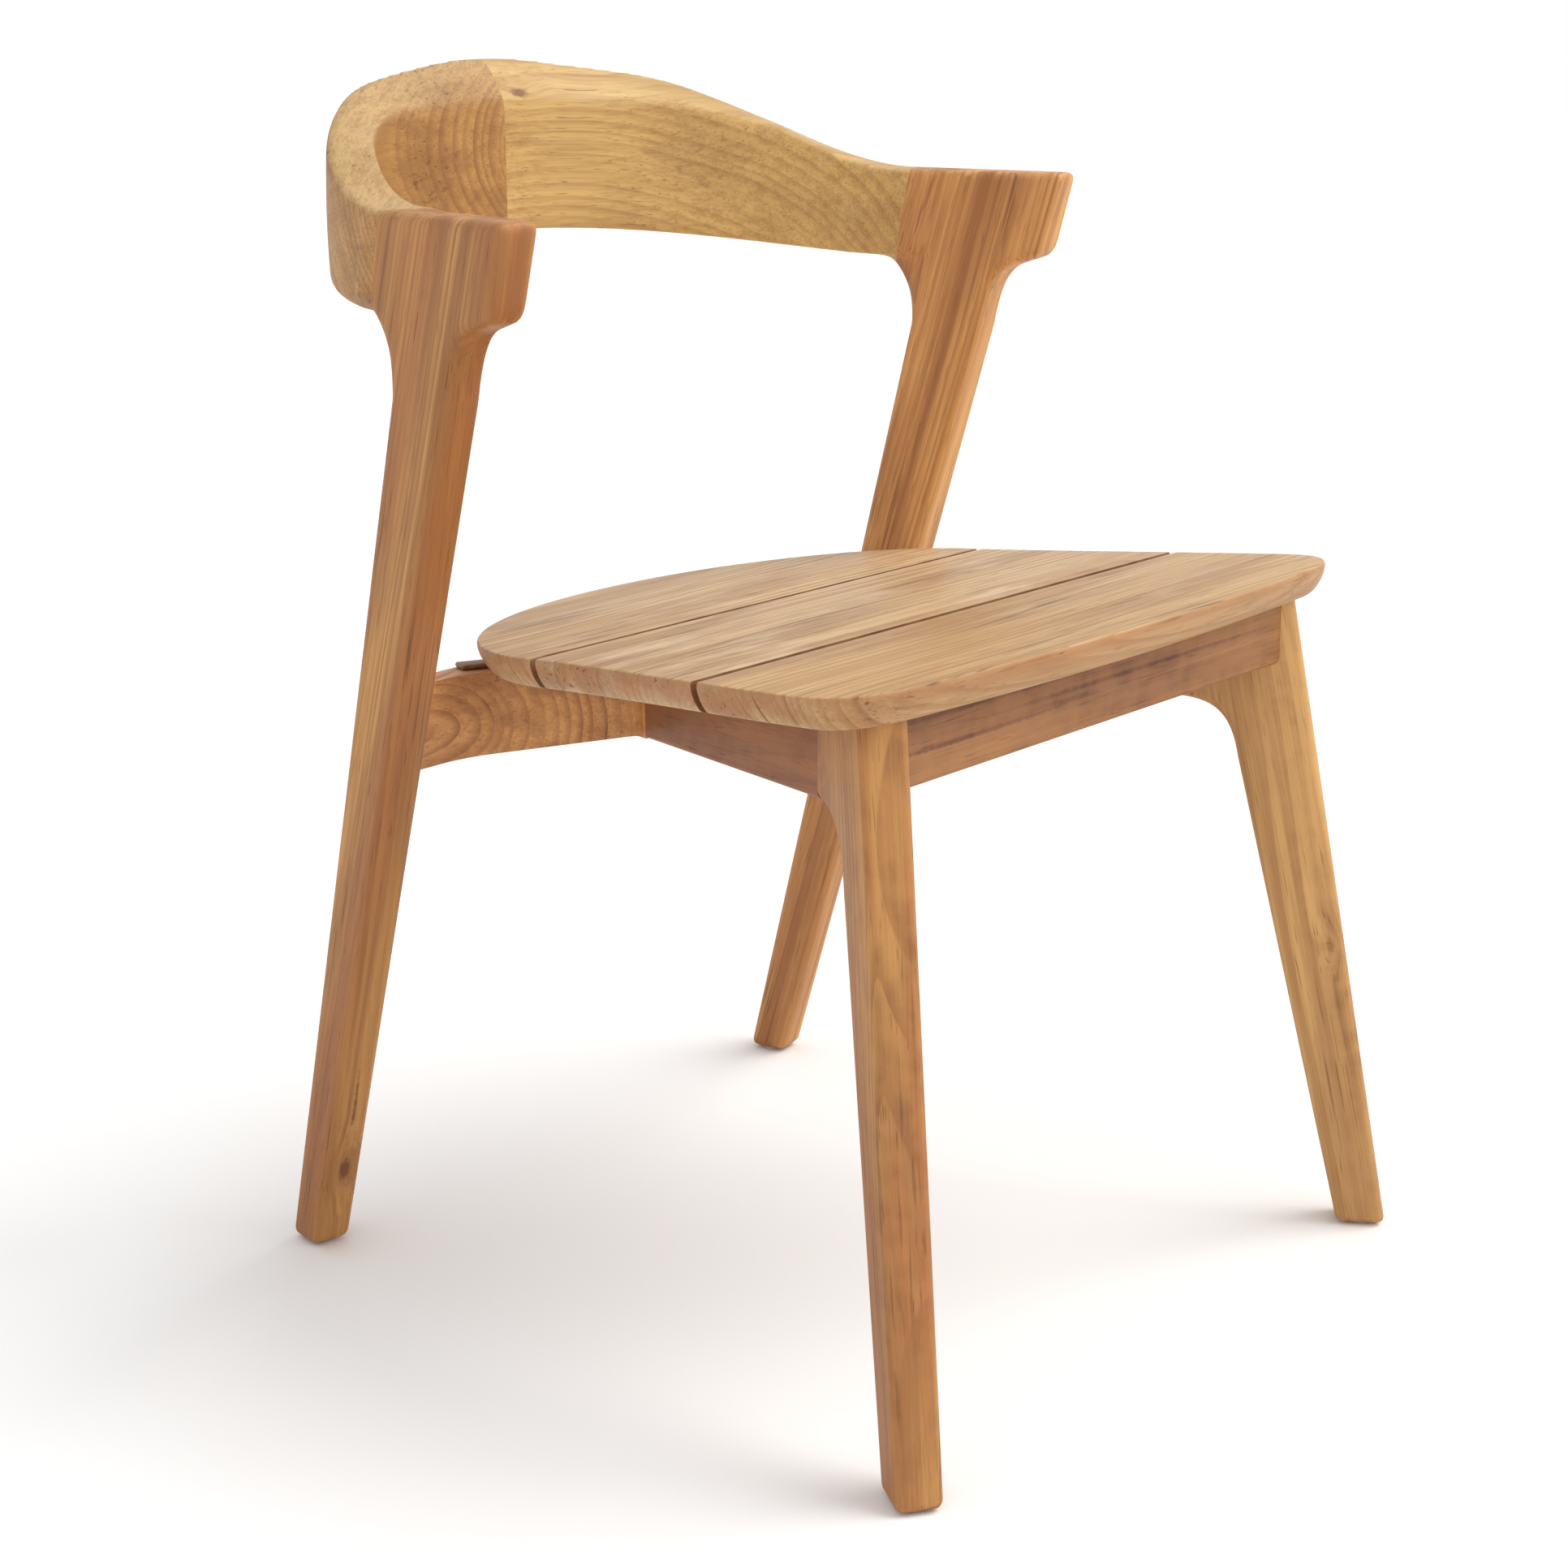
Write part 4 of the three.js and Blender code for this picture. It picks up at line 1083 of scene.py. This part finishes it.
@dataclass
class Rails:
    """Side rails, rear rail, apron and the hidden seat bearers and spacers."""

    sizes: Measures
    legs: FrontLegs
    rear_turn: float = 9.6
    side_thickness: float = 0.024
    side_end: Point2 = (0.090, 0.087)
    rear_front: float = 0.160
    rear_thickness: float = 0.025
    rear_drop: float = 0.004
    rear_bend: float = 0.180
    stub_reach: float = 0.034
    edge: float = 0.0032

    def __post_init__(self) -> None:
        """Finds where the side rails run."""
        plane, half = self.legs.plane, self.legs.thickness / 2
        self.start_out = plane.point(self.legs.joint, 0, half)
        self.start_in = plane.point(self.legs.joint, 0, -half)
        self.end_out = Vector((self.side_end[0], self.side_end[1] + self.sizes.shift, 0))
        self.run = (self.end_out - self.start_out).normalized()
        self.across = Vector((-self.run.y, self.run.x, 0))
        self.end_in = self.end_out + self.across * self.side_thickness

    def slab(self, name: str, plan: Sequence[Vector], upper: float, lower: float) -> bpy.types.Object:
        """A plan outline between two depths square below the seat's top.

        Args:
            name: the piece.
            plan: corners in plan.
            upper: depth of its top.
            lower: depth of its underside.
        """
        sizes = self.sizes
        piece = prism(name, [Vector((p.x, p.y, 0.25)) for p in plan], Vector((0, 0, 0.25)))
        top = Vector((0, sizes.shift, sizes.below(sizes.shift, upper)))
        foot = Vector((0, sizes.shift, sizes.below(sizes.shift, lower)))
        cut(piece, top, sizes.up)
        cut(piece, foot, -sizes.up)
        return piece

    def build_sides(self) -> dict[str, bpy.types.Object]:
        """Both side rails, rounded along their lower edges only."""
        sizes = self.sizes
        plan = [self.start_out, self.end_out - self.run * SEAM * 2, self.end_in - self.run * SEAM * 2,
                self.start_in]
        depth = sizes.seat_thickness + sizes.rail_depth
        rail = self.slab("side_rail_right", plan, sizes.seat_thickness + 0.0003, depth)

        def along_rail(a: Vector, b: Vector) -> bool:
            """Long edges, not the ends."""
            return abs((a - b).normalized().dot(self.run)) > 0.9

        soften(rail, self.edge, along_rail)
        smooth_shade(rail)
        return {"side_rail_right": rail, "side_rail_left": mirrored(rail, "side_rail_left")}

    def build_rear(self) -> dict[str, bpy.types.Object]:
        """The rear rail with its two stubs."""
        sizes = self.sizes
        y = sizes.shift
        front, back = self.rear_front + y, self.rear_front + self.rear_thickness + y
        tip, tip_in = self.end_out, self.end_in
        knee = tip + self.run * 0.013
        bend = self.rear_bend
        reach = 0.260
        sweep = bezier(
            Vector((bend - 0.022, front - 0.014, 0)), Vector((bend - 0.008, front - 0.004, 0)),
            Vector((bend + 0.006, front, 0)), Vector((bend + 0.02, front, 0)), 8,
        )
        right = [Vector((tip_in.x - 0.003, tip_in.y + self.stub_reach, 0)), tip_in, tip]
        right += bezier(knee - self.run * 0.004, knee, knee + Vector((0.001, 0.001, 0)),
                        knee + Vector((0.006, 0.0045, 0)), 5)
        right += [Vector((bend - 0.022, front - 0.014, 0))] + sweep
        right += [Vector((reach, front, 0)), Vector((reach, back, 0))]
        left = [Vector((-p.x, p.y, 0)) for p in reversed(right)]
        rail = self.slab(
            "rear_rail", right + left, sizes.seat_thickness + self.rear_drop,
            sizes.seat_thickness + sizes.rail_depth,
        )
        t = math.radians(self.rear_turn)
        plane = BoardPlane(self.rear_turn, 0.2745, 0.0242, y)
        for side in (1, -1):
            at = plane.point(0, 0, -0.0285 / 2 - 0.0002)
            out = Vector((math.cos(t), math.sin(t), plane.lean))
            cut(rail, Vector((side * at.x, at.y, at.z)), Vector((side * out.x, out.y, out.z)))
        tip_line = self.end_out

        def long_edges(a: Vector, b: Vector) -> bool:
            """Upper and lower edges, away from the ends and the glued stubs."""
            level = abs(a.z - b.z) < 0.6 * (a - b).length
            glued = (Vector((abs(a.x), a.y, 0)) - tip_line).length < 0.03 and (
                Vector((abs(b.x), b.y, 0)) - tip_line).length < 0.03 and (
                abs((Vector((abs(a.x) - abs(b.x), a.y - b.y, 0))).normalized().dot(self.run)) < 0.5)
            ends = min(abs(a.x), abs(b.x)) > 0.235
            return level and not glued and not ends

        soften(rail, self.edge, long_edges)
        smooth_shade(rail)
        return {"rear_rail": rail}

    def build_apron(self) -> dict[str, bpy.types.Object]:
        """The apron between the front legs."""
        sizes = self.sizes
        front = sizes.apron_front
        back = front + sizes.apron_thickness
        wide = 0.3
        corners = ((wide, front), (wide, back), (-wide, back), (-wide, front))
        plan = [Vector((x, y, 0)) for x, y in corners]
        under = sizes.seat_thickness
        apron = self.slab("front_apron", plan, under + 0.0003, under + sizes.apron_depth)
        out = self.legs.plane.out
        at = self.legs.plane.point(0, 0, -self.legs.thickness / 2 - 0.0002)
        for side in (1, -1):
            cut(apron, Vector((side * at.x, at.y, at.z)), Vector((side * out.x, out.y, 0)))
        soften(apron, self.edge, lambda a, b: abs((a - b).normalized().x) > 0.95)
        smooth_shade(apron)
        return {"front_apron": apron}

    def build_hidden(self) -> dict[str, bpy.types.Object]:
        """Bearers and spacers, eased along their edges."""
        pieces = {}
        for node in ("seat_bearer_right", "seat_spacer_right"):
            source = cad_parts[node]
            piece = bpy.data.objects.new(node + "_solid", source.data.copy())
            bpy.context.scene.collection.objects.link(piece)
            outward(piece)
            activate(piece)
            bpy.ops.object.mode_set(mode="EDIT")
            bpy.ops.mesh.select_all(action="SELECT")
            bpy.ops.mesh.dissolve_limited(angle_limit=math.radians(1))
            bpy.ops.object.mode_set(mode="OBJECT")
            soften(piece, 0.0012, segments=2, sharpest=math.radians(60))
            smooth_shade(piece, math.radians(30))
            pieces[node] = piece
            pair = node.replace(RIGHT, LEFT)
            pieces[pair] = mirrored(piece, pair + "_solid")
        return pieces


# ---------------------------------------------------------------- seat


@dataclass
class Seat:
    """Three boards with a rounded outline, a soft upper rim and a deep bevel underneath."""

    sizes: Measures
    half_front: float = 0.252
    half_back: float = 0.2205
    side_end: float = 0.054
    back_reach: float = 0.159
    front: float = 0.237
    corner: float = 0.048
    gap: float = 0.005
    gaps: tuple[float, float] = (-0.094, 0.054)
    rim: tuple[Point2, ...] = (
        (0.0018, 0.0), (0.0010, 0.0002), (0.0004, 0.0008), (0.0, 0.0020), (0.0001, 0.0040),
        (0.0010, 0.0075), (0.0028, 0.0115), (0.0050, 0.0150), (0.0072, 0.0178), (0.0090, 0.0192),
        (0.0112, 0.0200),
    )

    def outline(self) -> list[Vector]:
        """The seat's outline in plan, counter-clockwise, from the middle of its front edge."""
        front, wide, narrow = -self.front, self.half_front, self.half_back
        corner = front + self.corner + 0.012
        start = Vector((0, front, 0))
        right = bezier(start, Vector((0.09, front, 0)), Vector((wide - 0.1, front + 0.006, 0)),
                       Vector((wide - self.corner, front + 0.012, 0)), 16)
        right += bezier(right[-1], Vector((wide - 0.012, front + 0.018, 0)),
                        Vector((wide + 0.002, front + 0.034, 0)), Vector((wide, corner, 0)), 16)
        right += bezier(right[-1], Vector((wide - 0.009, corner + 0.08, 0)),
                        Vector((narrow + 0.004, self.side_end - 0.06, 0)),
                        Vector((narrow, self.side_end, 0)), 16)
        arc = 40
        for i in range(1, arc):
            a = math.pi / 2 * i / arc
            y = self.side_end + self.back_reach * math.sin(a)
            right.append(Vector((narrow * math.cos(a), y, 0)))
        back = Vector((0, self.side_end + self.back_reach, 0))
        left = [Vector((-p.x, p.y, 0)) for p in reversed(right)]
        return [start, *right, back, *left]

    def plate(self) -> bpy.types.Object:
        """The whole seat with its rounded rim, lying at its slope."""
        outline = self.outline()
        count = len(outline)
        normals = []
        for i, here in enumerate(outline):
            run = (outline[(i + 1) % count] - outline[i - 1]).normalized()
            normals.append(Vector((run.y, -run.x, 0)))
        tilt = Matrix.Rotation(-self.sizes.seat_slope, 4, "X")
        place = Matrix.Translation((0, self.sizes.shift, self.sizes.seat_mid)) @ tilt
        rings = []
        for inset, depth in self.rim:
            down = Vector((0, 0, depth))
            rings.append([place @ (p - n * inset - down) for p, n in zip(outline, normals)])
        return loft("seat_plate", rings)

    def build(self) -> dict[str, bpy.types.Object]:
        """The three slats, parted by gaps with eased edges."""
        plate = self.plate()
        y = self.sizes.shift
        half = self.gap / 2
        low, high = self.gaps
        spans = {
            "seat_slat_front": (None, low - half),
            "seat_slat_middle": (low + half, high - half),
            "seat_slat_back": (high + half, None),
        }
        pieces = {}
        for name, (near, far) in spans.items():
            slat = copied(plate, name)
            faces = []
            if near is not None:
                cut(slat, Vector((0, near + y, 0)), Vector((0, -1, 0)))
                faces.append(near + y)
            if far is not None:
                cut(slat, Vector((0, far + y, 0)), Vector((0, 1, 0)))
                faces.append(far + y)

            def sawn(a: Vector, b: Vector) -> bool:
                """Edges of the straight sawn faces."""
                return any(abs(a.y - at) < 1e-5 and abs(b.y - at) < 1e-5 for at in faces)

            soften(slat, 0.0007, sawn, segments=2, sharpest=math.radians(20))
            smooth_shade(slat)
            pieces[name] = slat
        bpy.data.objects.remove(plate)
        return pieces


# ---------------------------------------------------------------- timber choice


def timbers() -> dict[str, Teak]:
    """Each visible board's own timber, by node."""
    across, forward = Grain.ACROSS, Grain.FORWARD
    return {
        "rear_leg_left": Teak(
            "teak_rear_leg_left", Tone.HONEY, turn=(16.4, 0, -9.6), centre=(-0.255, 0.12, 0.4),
            pith=(0.06, 0.24), ring_width=0.0050, wander=0.012, banding=0.75, contrast=0.6,
            blush=0.35,
            knots=(
                Knot((-0.2376, 0.2076, 0.0599), 0.0042),
                Knot((-0.2375, 0.1990, 0.0860), 0.0016, 32.0),
            ),
            tint=(1.06, 0.98, 0.78),
        ),
        "rear_leg_right": Teak(
            "teak_rear_leg_right", Tone.HONEY, turn=(16.4, 0, 9.6), centre=(0.255, 0.12, 0.4),
            pith=(0.05, -0.26), ring_width=0.0056, wander=0.012, banding=0.9, contrast=0.55,
            tint=(1.32, 1.25, 1.12),
        ),
        "front_leg_left": Teak(
            "teak_front_leg_left", Tone.HONEY, turn=(-12.2, 0, -34.2), centre=(-0.22, -0.25, 0.2),
            pith=(0.012, 0.075), ring_width=0.0052, wander=0.07, contrast=0.8, banding=0.3, blush=0.55,
            tint=(0.97, 0.90, 0.74),
        ),
        "front_leg_right": Teak(
            "teak_front_leg_right", Tone.GOLDEN, turn=(-12.2, 0, 34.2), centre=(0.22, -0.25, 0.2),
            pith=(0.10, 0.09), ring_width=0.0060, wander=0.02, contrast=0.5, banding=0.3,
            knots=(Knot((0.2183, -0.2626, 0.2011), 0.0026),),
            tint=(1.05, 1.0, 0.95),
        ),
        "back_half_left": Teak(
            "teak_back_half_left", Tone.HONEY, across, turn=(0, 0, 36), centre=(-0.12, 0.25, 0.70),
            pith=(0.015, -0.13), ring_width=0.0045, wander=0.03, contrast=0.62,
            banding=0.25, streaks=0.6,
            tint=(0.94, 0.93, 0.76), painted_top_light=0.7,
        ),
        "back_half_right": Teak(
            "teak_back_half_right", Tone.GOLDEN, across, turn=(0, 2, -12), centre=(0.12, 0.25, 0.70),
            pith=(-0.13, 0.03), ring_width=0.0075, wander=0.05, contrast=0.42, banding=0.1, streaks=0.3,
            knots=(Knot((0.0165, 0.2775, 0.7440), 0.0034),), drift=0.4, flecks=0.3,
            tint=(1.09, 1.17, 1.08), painted_top_light=0.35,
        ),
        "seat_slat_front": Teak(
            "teak_seat_slat_front", Tone.PALE, across, painted_side_shade=0.75, sawn=(0.0, 1.0),
            turn=(-5.2, 0, 0), centre=(0.1, -0.19, 0.45),
            pith=(-0.035, 0.12), ring_width=0.0065, wander=0.05, painted_sheen=0.35, flecks=0.9,
            streaks=1.0, contrast=0.6,
            banding=0.35,
            tint=(0.96, 0.9, 0.78),
        ),
        "seat_slat_middle": Teak(
            "teak_seat_slat_middle", Tone.PALE, across, painted_side_shade=0.75, sawn=(1.0, 1.0),
            turn=(-5.2, 0, 0), centre=(-0.1, -0.04, 0.43),
            pith=(-0.03, -0.09), ring_width=0.0060, wander=0.05, painted_sheen=0.75, flecks=1.0, banding=0.5,
            streaks=1.0, contrast=0.6,
        ),
        "seat_slat_back": Teak(
            "teak_seat_slat_back", Tone.PALE, across, painted_side_shade=0.75, sawn=(1.0, 0.0),
            turn=(-5.2, 0, 0), centre=(0.0, 0.1, 0.42),
            pith=(-0.05, 0.08), ring_width=0.0065, wander=0.05, painted_sheen=0.45, flecks=0.8, streaks=0.8,
            contrast=0.8, banding=0.35,
        ),
        "front_apron": Teak(
            "teak_front_apron", Tone.HONEY, across, centre=(0, -0.215, 0.415), pith=(0.015, 0.05),
            ring_width=0.0070, wander=0.03, streaks=1.0, contrast=0.6,
            knots=(
                Knot((-0.08, -0.2275, 0.4290), 0.0019, 70.0),
                Knot((0.03, -0.2275, 0.4190), 0.0016, 80.0),
                Knot((-0.13, -0.2275, 0.4110), 0.0017, 45.0),
            ),
            tint=(0.70, 0.60, 0.55),
        ),
        "side_rail_left": Teak(
            "teak_side_rail_left", Tone.BROWN, forward, turn=(-5.2, 0, -19.4),
            centre=(-0.12, -0.05, 0.39),
            pith=(0.04, 0.01), ring_width=0.0060, wander=0.03, streaks=0.9,
            tint=(0.84, 0.74, 0.7),
        ),
        "side_rail_right": Teak(
            "teak_side_rail_right", Tone.BROWN, forward, turn=(-5.2, 0, 19.4),
            centre=(0.12, -0.05, 0.39),
            pith=(0.05, 0.02), ring_width=0.0060, wander=0.03, streaks=0.9,
        ),
        "rear_rail": Teak(
            "teak_rear_rail", Tone.HONEY, across, turn=(0, 4, 12), centre=(0, 0.15, 0.37),
            pith=(-0.02, 0.05), ring_width=0.0060, wander=0.035, contrast=0.75,
            tint=(1.25, 1.18, 1.15),
        ),
        "seat_bearer_right": Teak("teak_bearer_right", Tone.BROWN, forward, centre=(0.04, 0, 0.4)),
        "seat_bearer_left": Teak("teak_bearer_left", Tone.BROWN, forward, centre=(-0.04, 0.3, 0.4)),
        "seat_spacer_right": Teak("teak_spacer_right", Tone.DUSKY, across),
        "seat_spacer_left": Teak("teak_spacer_left", Tone.DUSKY, across, centre=(0.1, 0, 0)),
    }


# ---------------------------------------------------------------- fittings


@dataclass
class Fittings:
    """Dowels, screws and glides: the frame's own solids with their finishes."""

    dowel: PlainFinish = PlainFinish("beech_dowel", (0.62, 0.44, 0.26), 0.6)
    screw: PlainFinish = PlainFinish("plated_steel", (0.62, 0.60, 0.56), 0.3, 1.0, 400.0)
    glide: PlainFinish = PlainFinish("pale_plastic", (0.72, 0.70, 0.66), 0.45, 0.0, 300.0)

    def dress_all(self) -> None:
        """Gives each fitting's solid its finish."""
        finishes = {"dowel": self.dowel, "screw": self.screw, "glide": self.glide}
        for word, finish in finishes.items():
            material = finish.material()
            for name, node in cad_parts.items():
                if word in name:
                    node.data.materials.clear()
                    node.data.materials.append(material)


# ---------------------------------------------------------------- studio


@dataclass
class Studio:
    """A pale floor, soft lights and the camera."""

    distance_target: tuple[float, float, float] = (-1.3549, -1.1226, 0.8176)
    azimuth: float = -49.186
    elevation: float = 15.931
    roll: float = -0.173
    lens: float = 64.75
    sensor: float = 36.0
    sky: float = 0.80
    sun_power: float = 1.35
    sun_spread: float = 35.0
    sun_from: tuple[float, float, float] = (0.55, -0.45, 1.0)

    def camera(self, shift: float) -> None:
        """Places the camera, turned to the chair's three-quarter view."""
        a, e, r = (math.radians(v) for v in (self.azimuth, self.elevation, self.roll))
        back = Vector((math.sin(a) * math.cos(e), -math.cos(a) * math.cos(e), math.sin(e)))
        right = Vector((math.cos(a), math.sin(a), 0))
        up = back.cross(right)
        tilted = right * math.cos(r) + up * math.sin(r)
        upright = up * math.cos(r) - right * math.sin(r)
        data = bpy.data.cameras.new("camera")
        data.lens = self.lens
        data.sensor_width = self.sensor
        data.sensor_fit = "HORIZONTAL"
        data.clip_end = 50
        camera = bpy.data.objects.new("camera", data)
        x, y, z = self.distance_target
        turn = Matrix((tilted, upright, back)).transposed().to_4x4()
        camera.matrix_world = Matrix.Translation((x, y + shift, z)) @ turn
        bpy.context.scene.collection.objects.link(camera)
        bpy.context.scene.camera = camera

    def light(
        self, name: str, place: Vector, aim: Vector, size: float, power: float, tint: tuple
    ) -> None:
        """One square soft light, aimed at a point."""
        data = bpy.data.lights.new(name, "AREA")
        data.shape = "SQUARE"
        data.size = size
        data.energy = power
        data.color = tint
        lamp = bpy.data.objects.new(name, data)
        lamp.location = place
        lamp.rotation_euler = (aim - place).to_track_quat("-Z", "Y").to_euler()
        bpy.context.scene.collection.objects.link(lamp)

    def sun(self) -> None:
        """One broad, very soft key light from the upper right."""
        data = bpy.data.lights.new("key", "SUN")
        data.energy = self.sun_power
        data.angle = math.radians(self.sun_spread)
        data.color = (1.0, 0.985, 0.96)
        lamp = bpy.data.objects.new("key", data)
        lamp.rotation_euler = (-Vector(self.sun_from)).to_track_quat("-Z", "Y").to_euler()
        bpy.context.scene.collection.objects.link(lamp)

    def floor(self) -> None:
        """A broad pale floor."""
        deselect_all()
        bpy.ops.mesh.primitive_plane_add(size=30)
        floor = bpy.context.object
        floor.name = "studio_floor"
        material = bpy.data.materials.new("pale_floor")
        material.use_nodes = True
        shop = Shop(material.node_tree)
        skin = material.node_tree.nodes["Principled BSDF"]
        seen = add_node(material.node_tree, "ShaderNodeLightPath").outputs["Is Camera Ray"]
        color = shop.mix(seen, (0.80, 0.78, 0.76, 1), (0.97, 0.97, 0.97, 1))
        shop.feed(skin.inputs["Base Color"], color)
        skin.inputs["Roughness"].default_value = 0.9
        skin.inputs["Specular IOR Level"].default_value = 0.1
        floor.data.materials.append(material)

    def world(self) -> None:
        """An even, nearly white surround."""
        world = bpy.data.worlds.new("surround")
        world.use_nodes = True
        glow = world.node_tree.nodes["Background"]
        glow.inputs["Color"].default_value = (1.0, 1.0, 1.0, 1)
        seen = add_node(world.node_tree, "ShaderNodeLightPath").outputs["Is Camera Ray"]
        shop = Shop(world.node_tree)
        shop.feed(glow.inputs["Strength"], shop.math("MULTIPLY_ADD", seen, 1.0 - self.sky))
        glow.inputs["Strength"].links[0].from_node.inputs[2].default_value = self.sky
        bpy.context.scene.world = world
        bpy.context.scene.view_settings.view_transform = "Standard"

    def build(self, shift: float) -> None:
        """Sets up the whole studio."""
        self.world()
        self.floor()
        aim = Vector((0, 0, 0.42))
        self.sun()
        self.light("window", Vector((0.6, -2.2, 1.8)), aim, 1.6, 12, (1.0, 0.98, 0.95))
        self.camera(shift)


# ---------------------------------------------------------------- whole chair


def main() -> None:
    """Builds the chair's sub-assemblies in order, dresses them and sets the studio."""
    logging.basicConfig(level=logging.INFO, format="%(message)s")
    deselect_all()
    sizes = Measures()
    kit = WoodKit()
    studio = Studio()
    studio.build(sizes.shift)
    legs = FrontLegs(sizes)
    rails = Rails(sizes, legs)
    pieces = {
        **UpperFrame(sizes).build(),
        **legs.build(),
        **rails.build_sides(),
        **rails.build_rear(),
        **rails.build_apron(),
        **rails.build_hidden(),
        **Seat(sizes).build(),
    }
    choice = timbers()
    for node, piece in pieces.items():
        piece.name = "teak_" + node
        dress(piece, choice[node].material(kit), node)
    Fittings().dress_all()
    deselect_all()


if __name__ == "__main__":
    main()
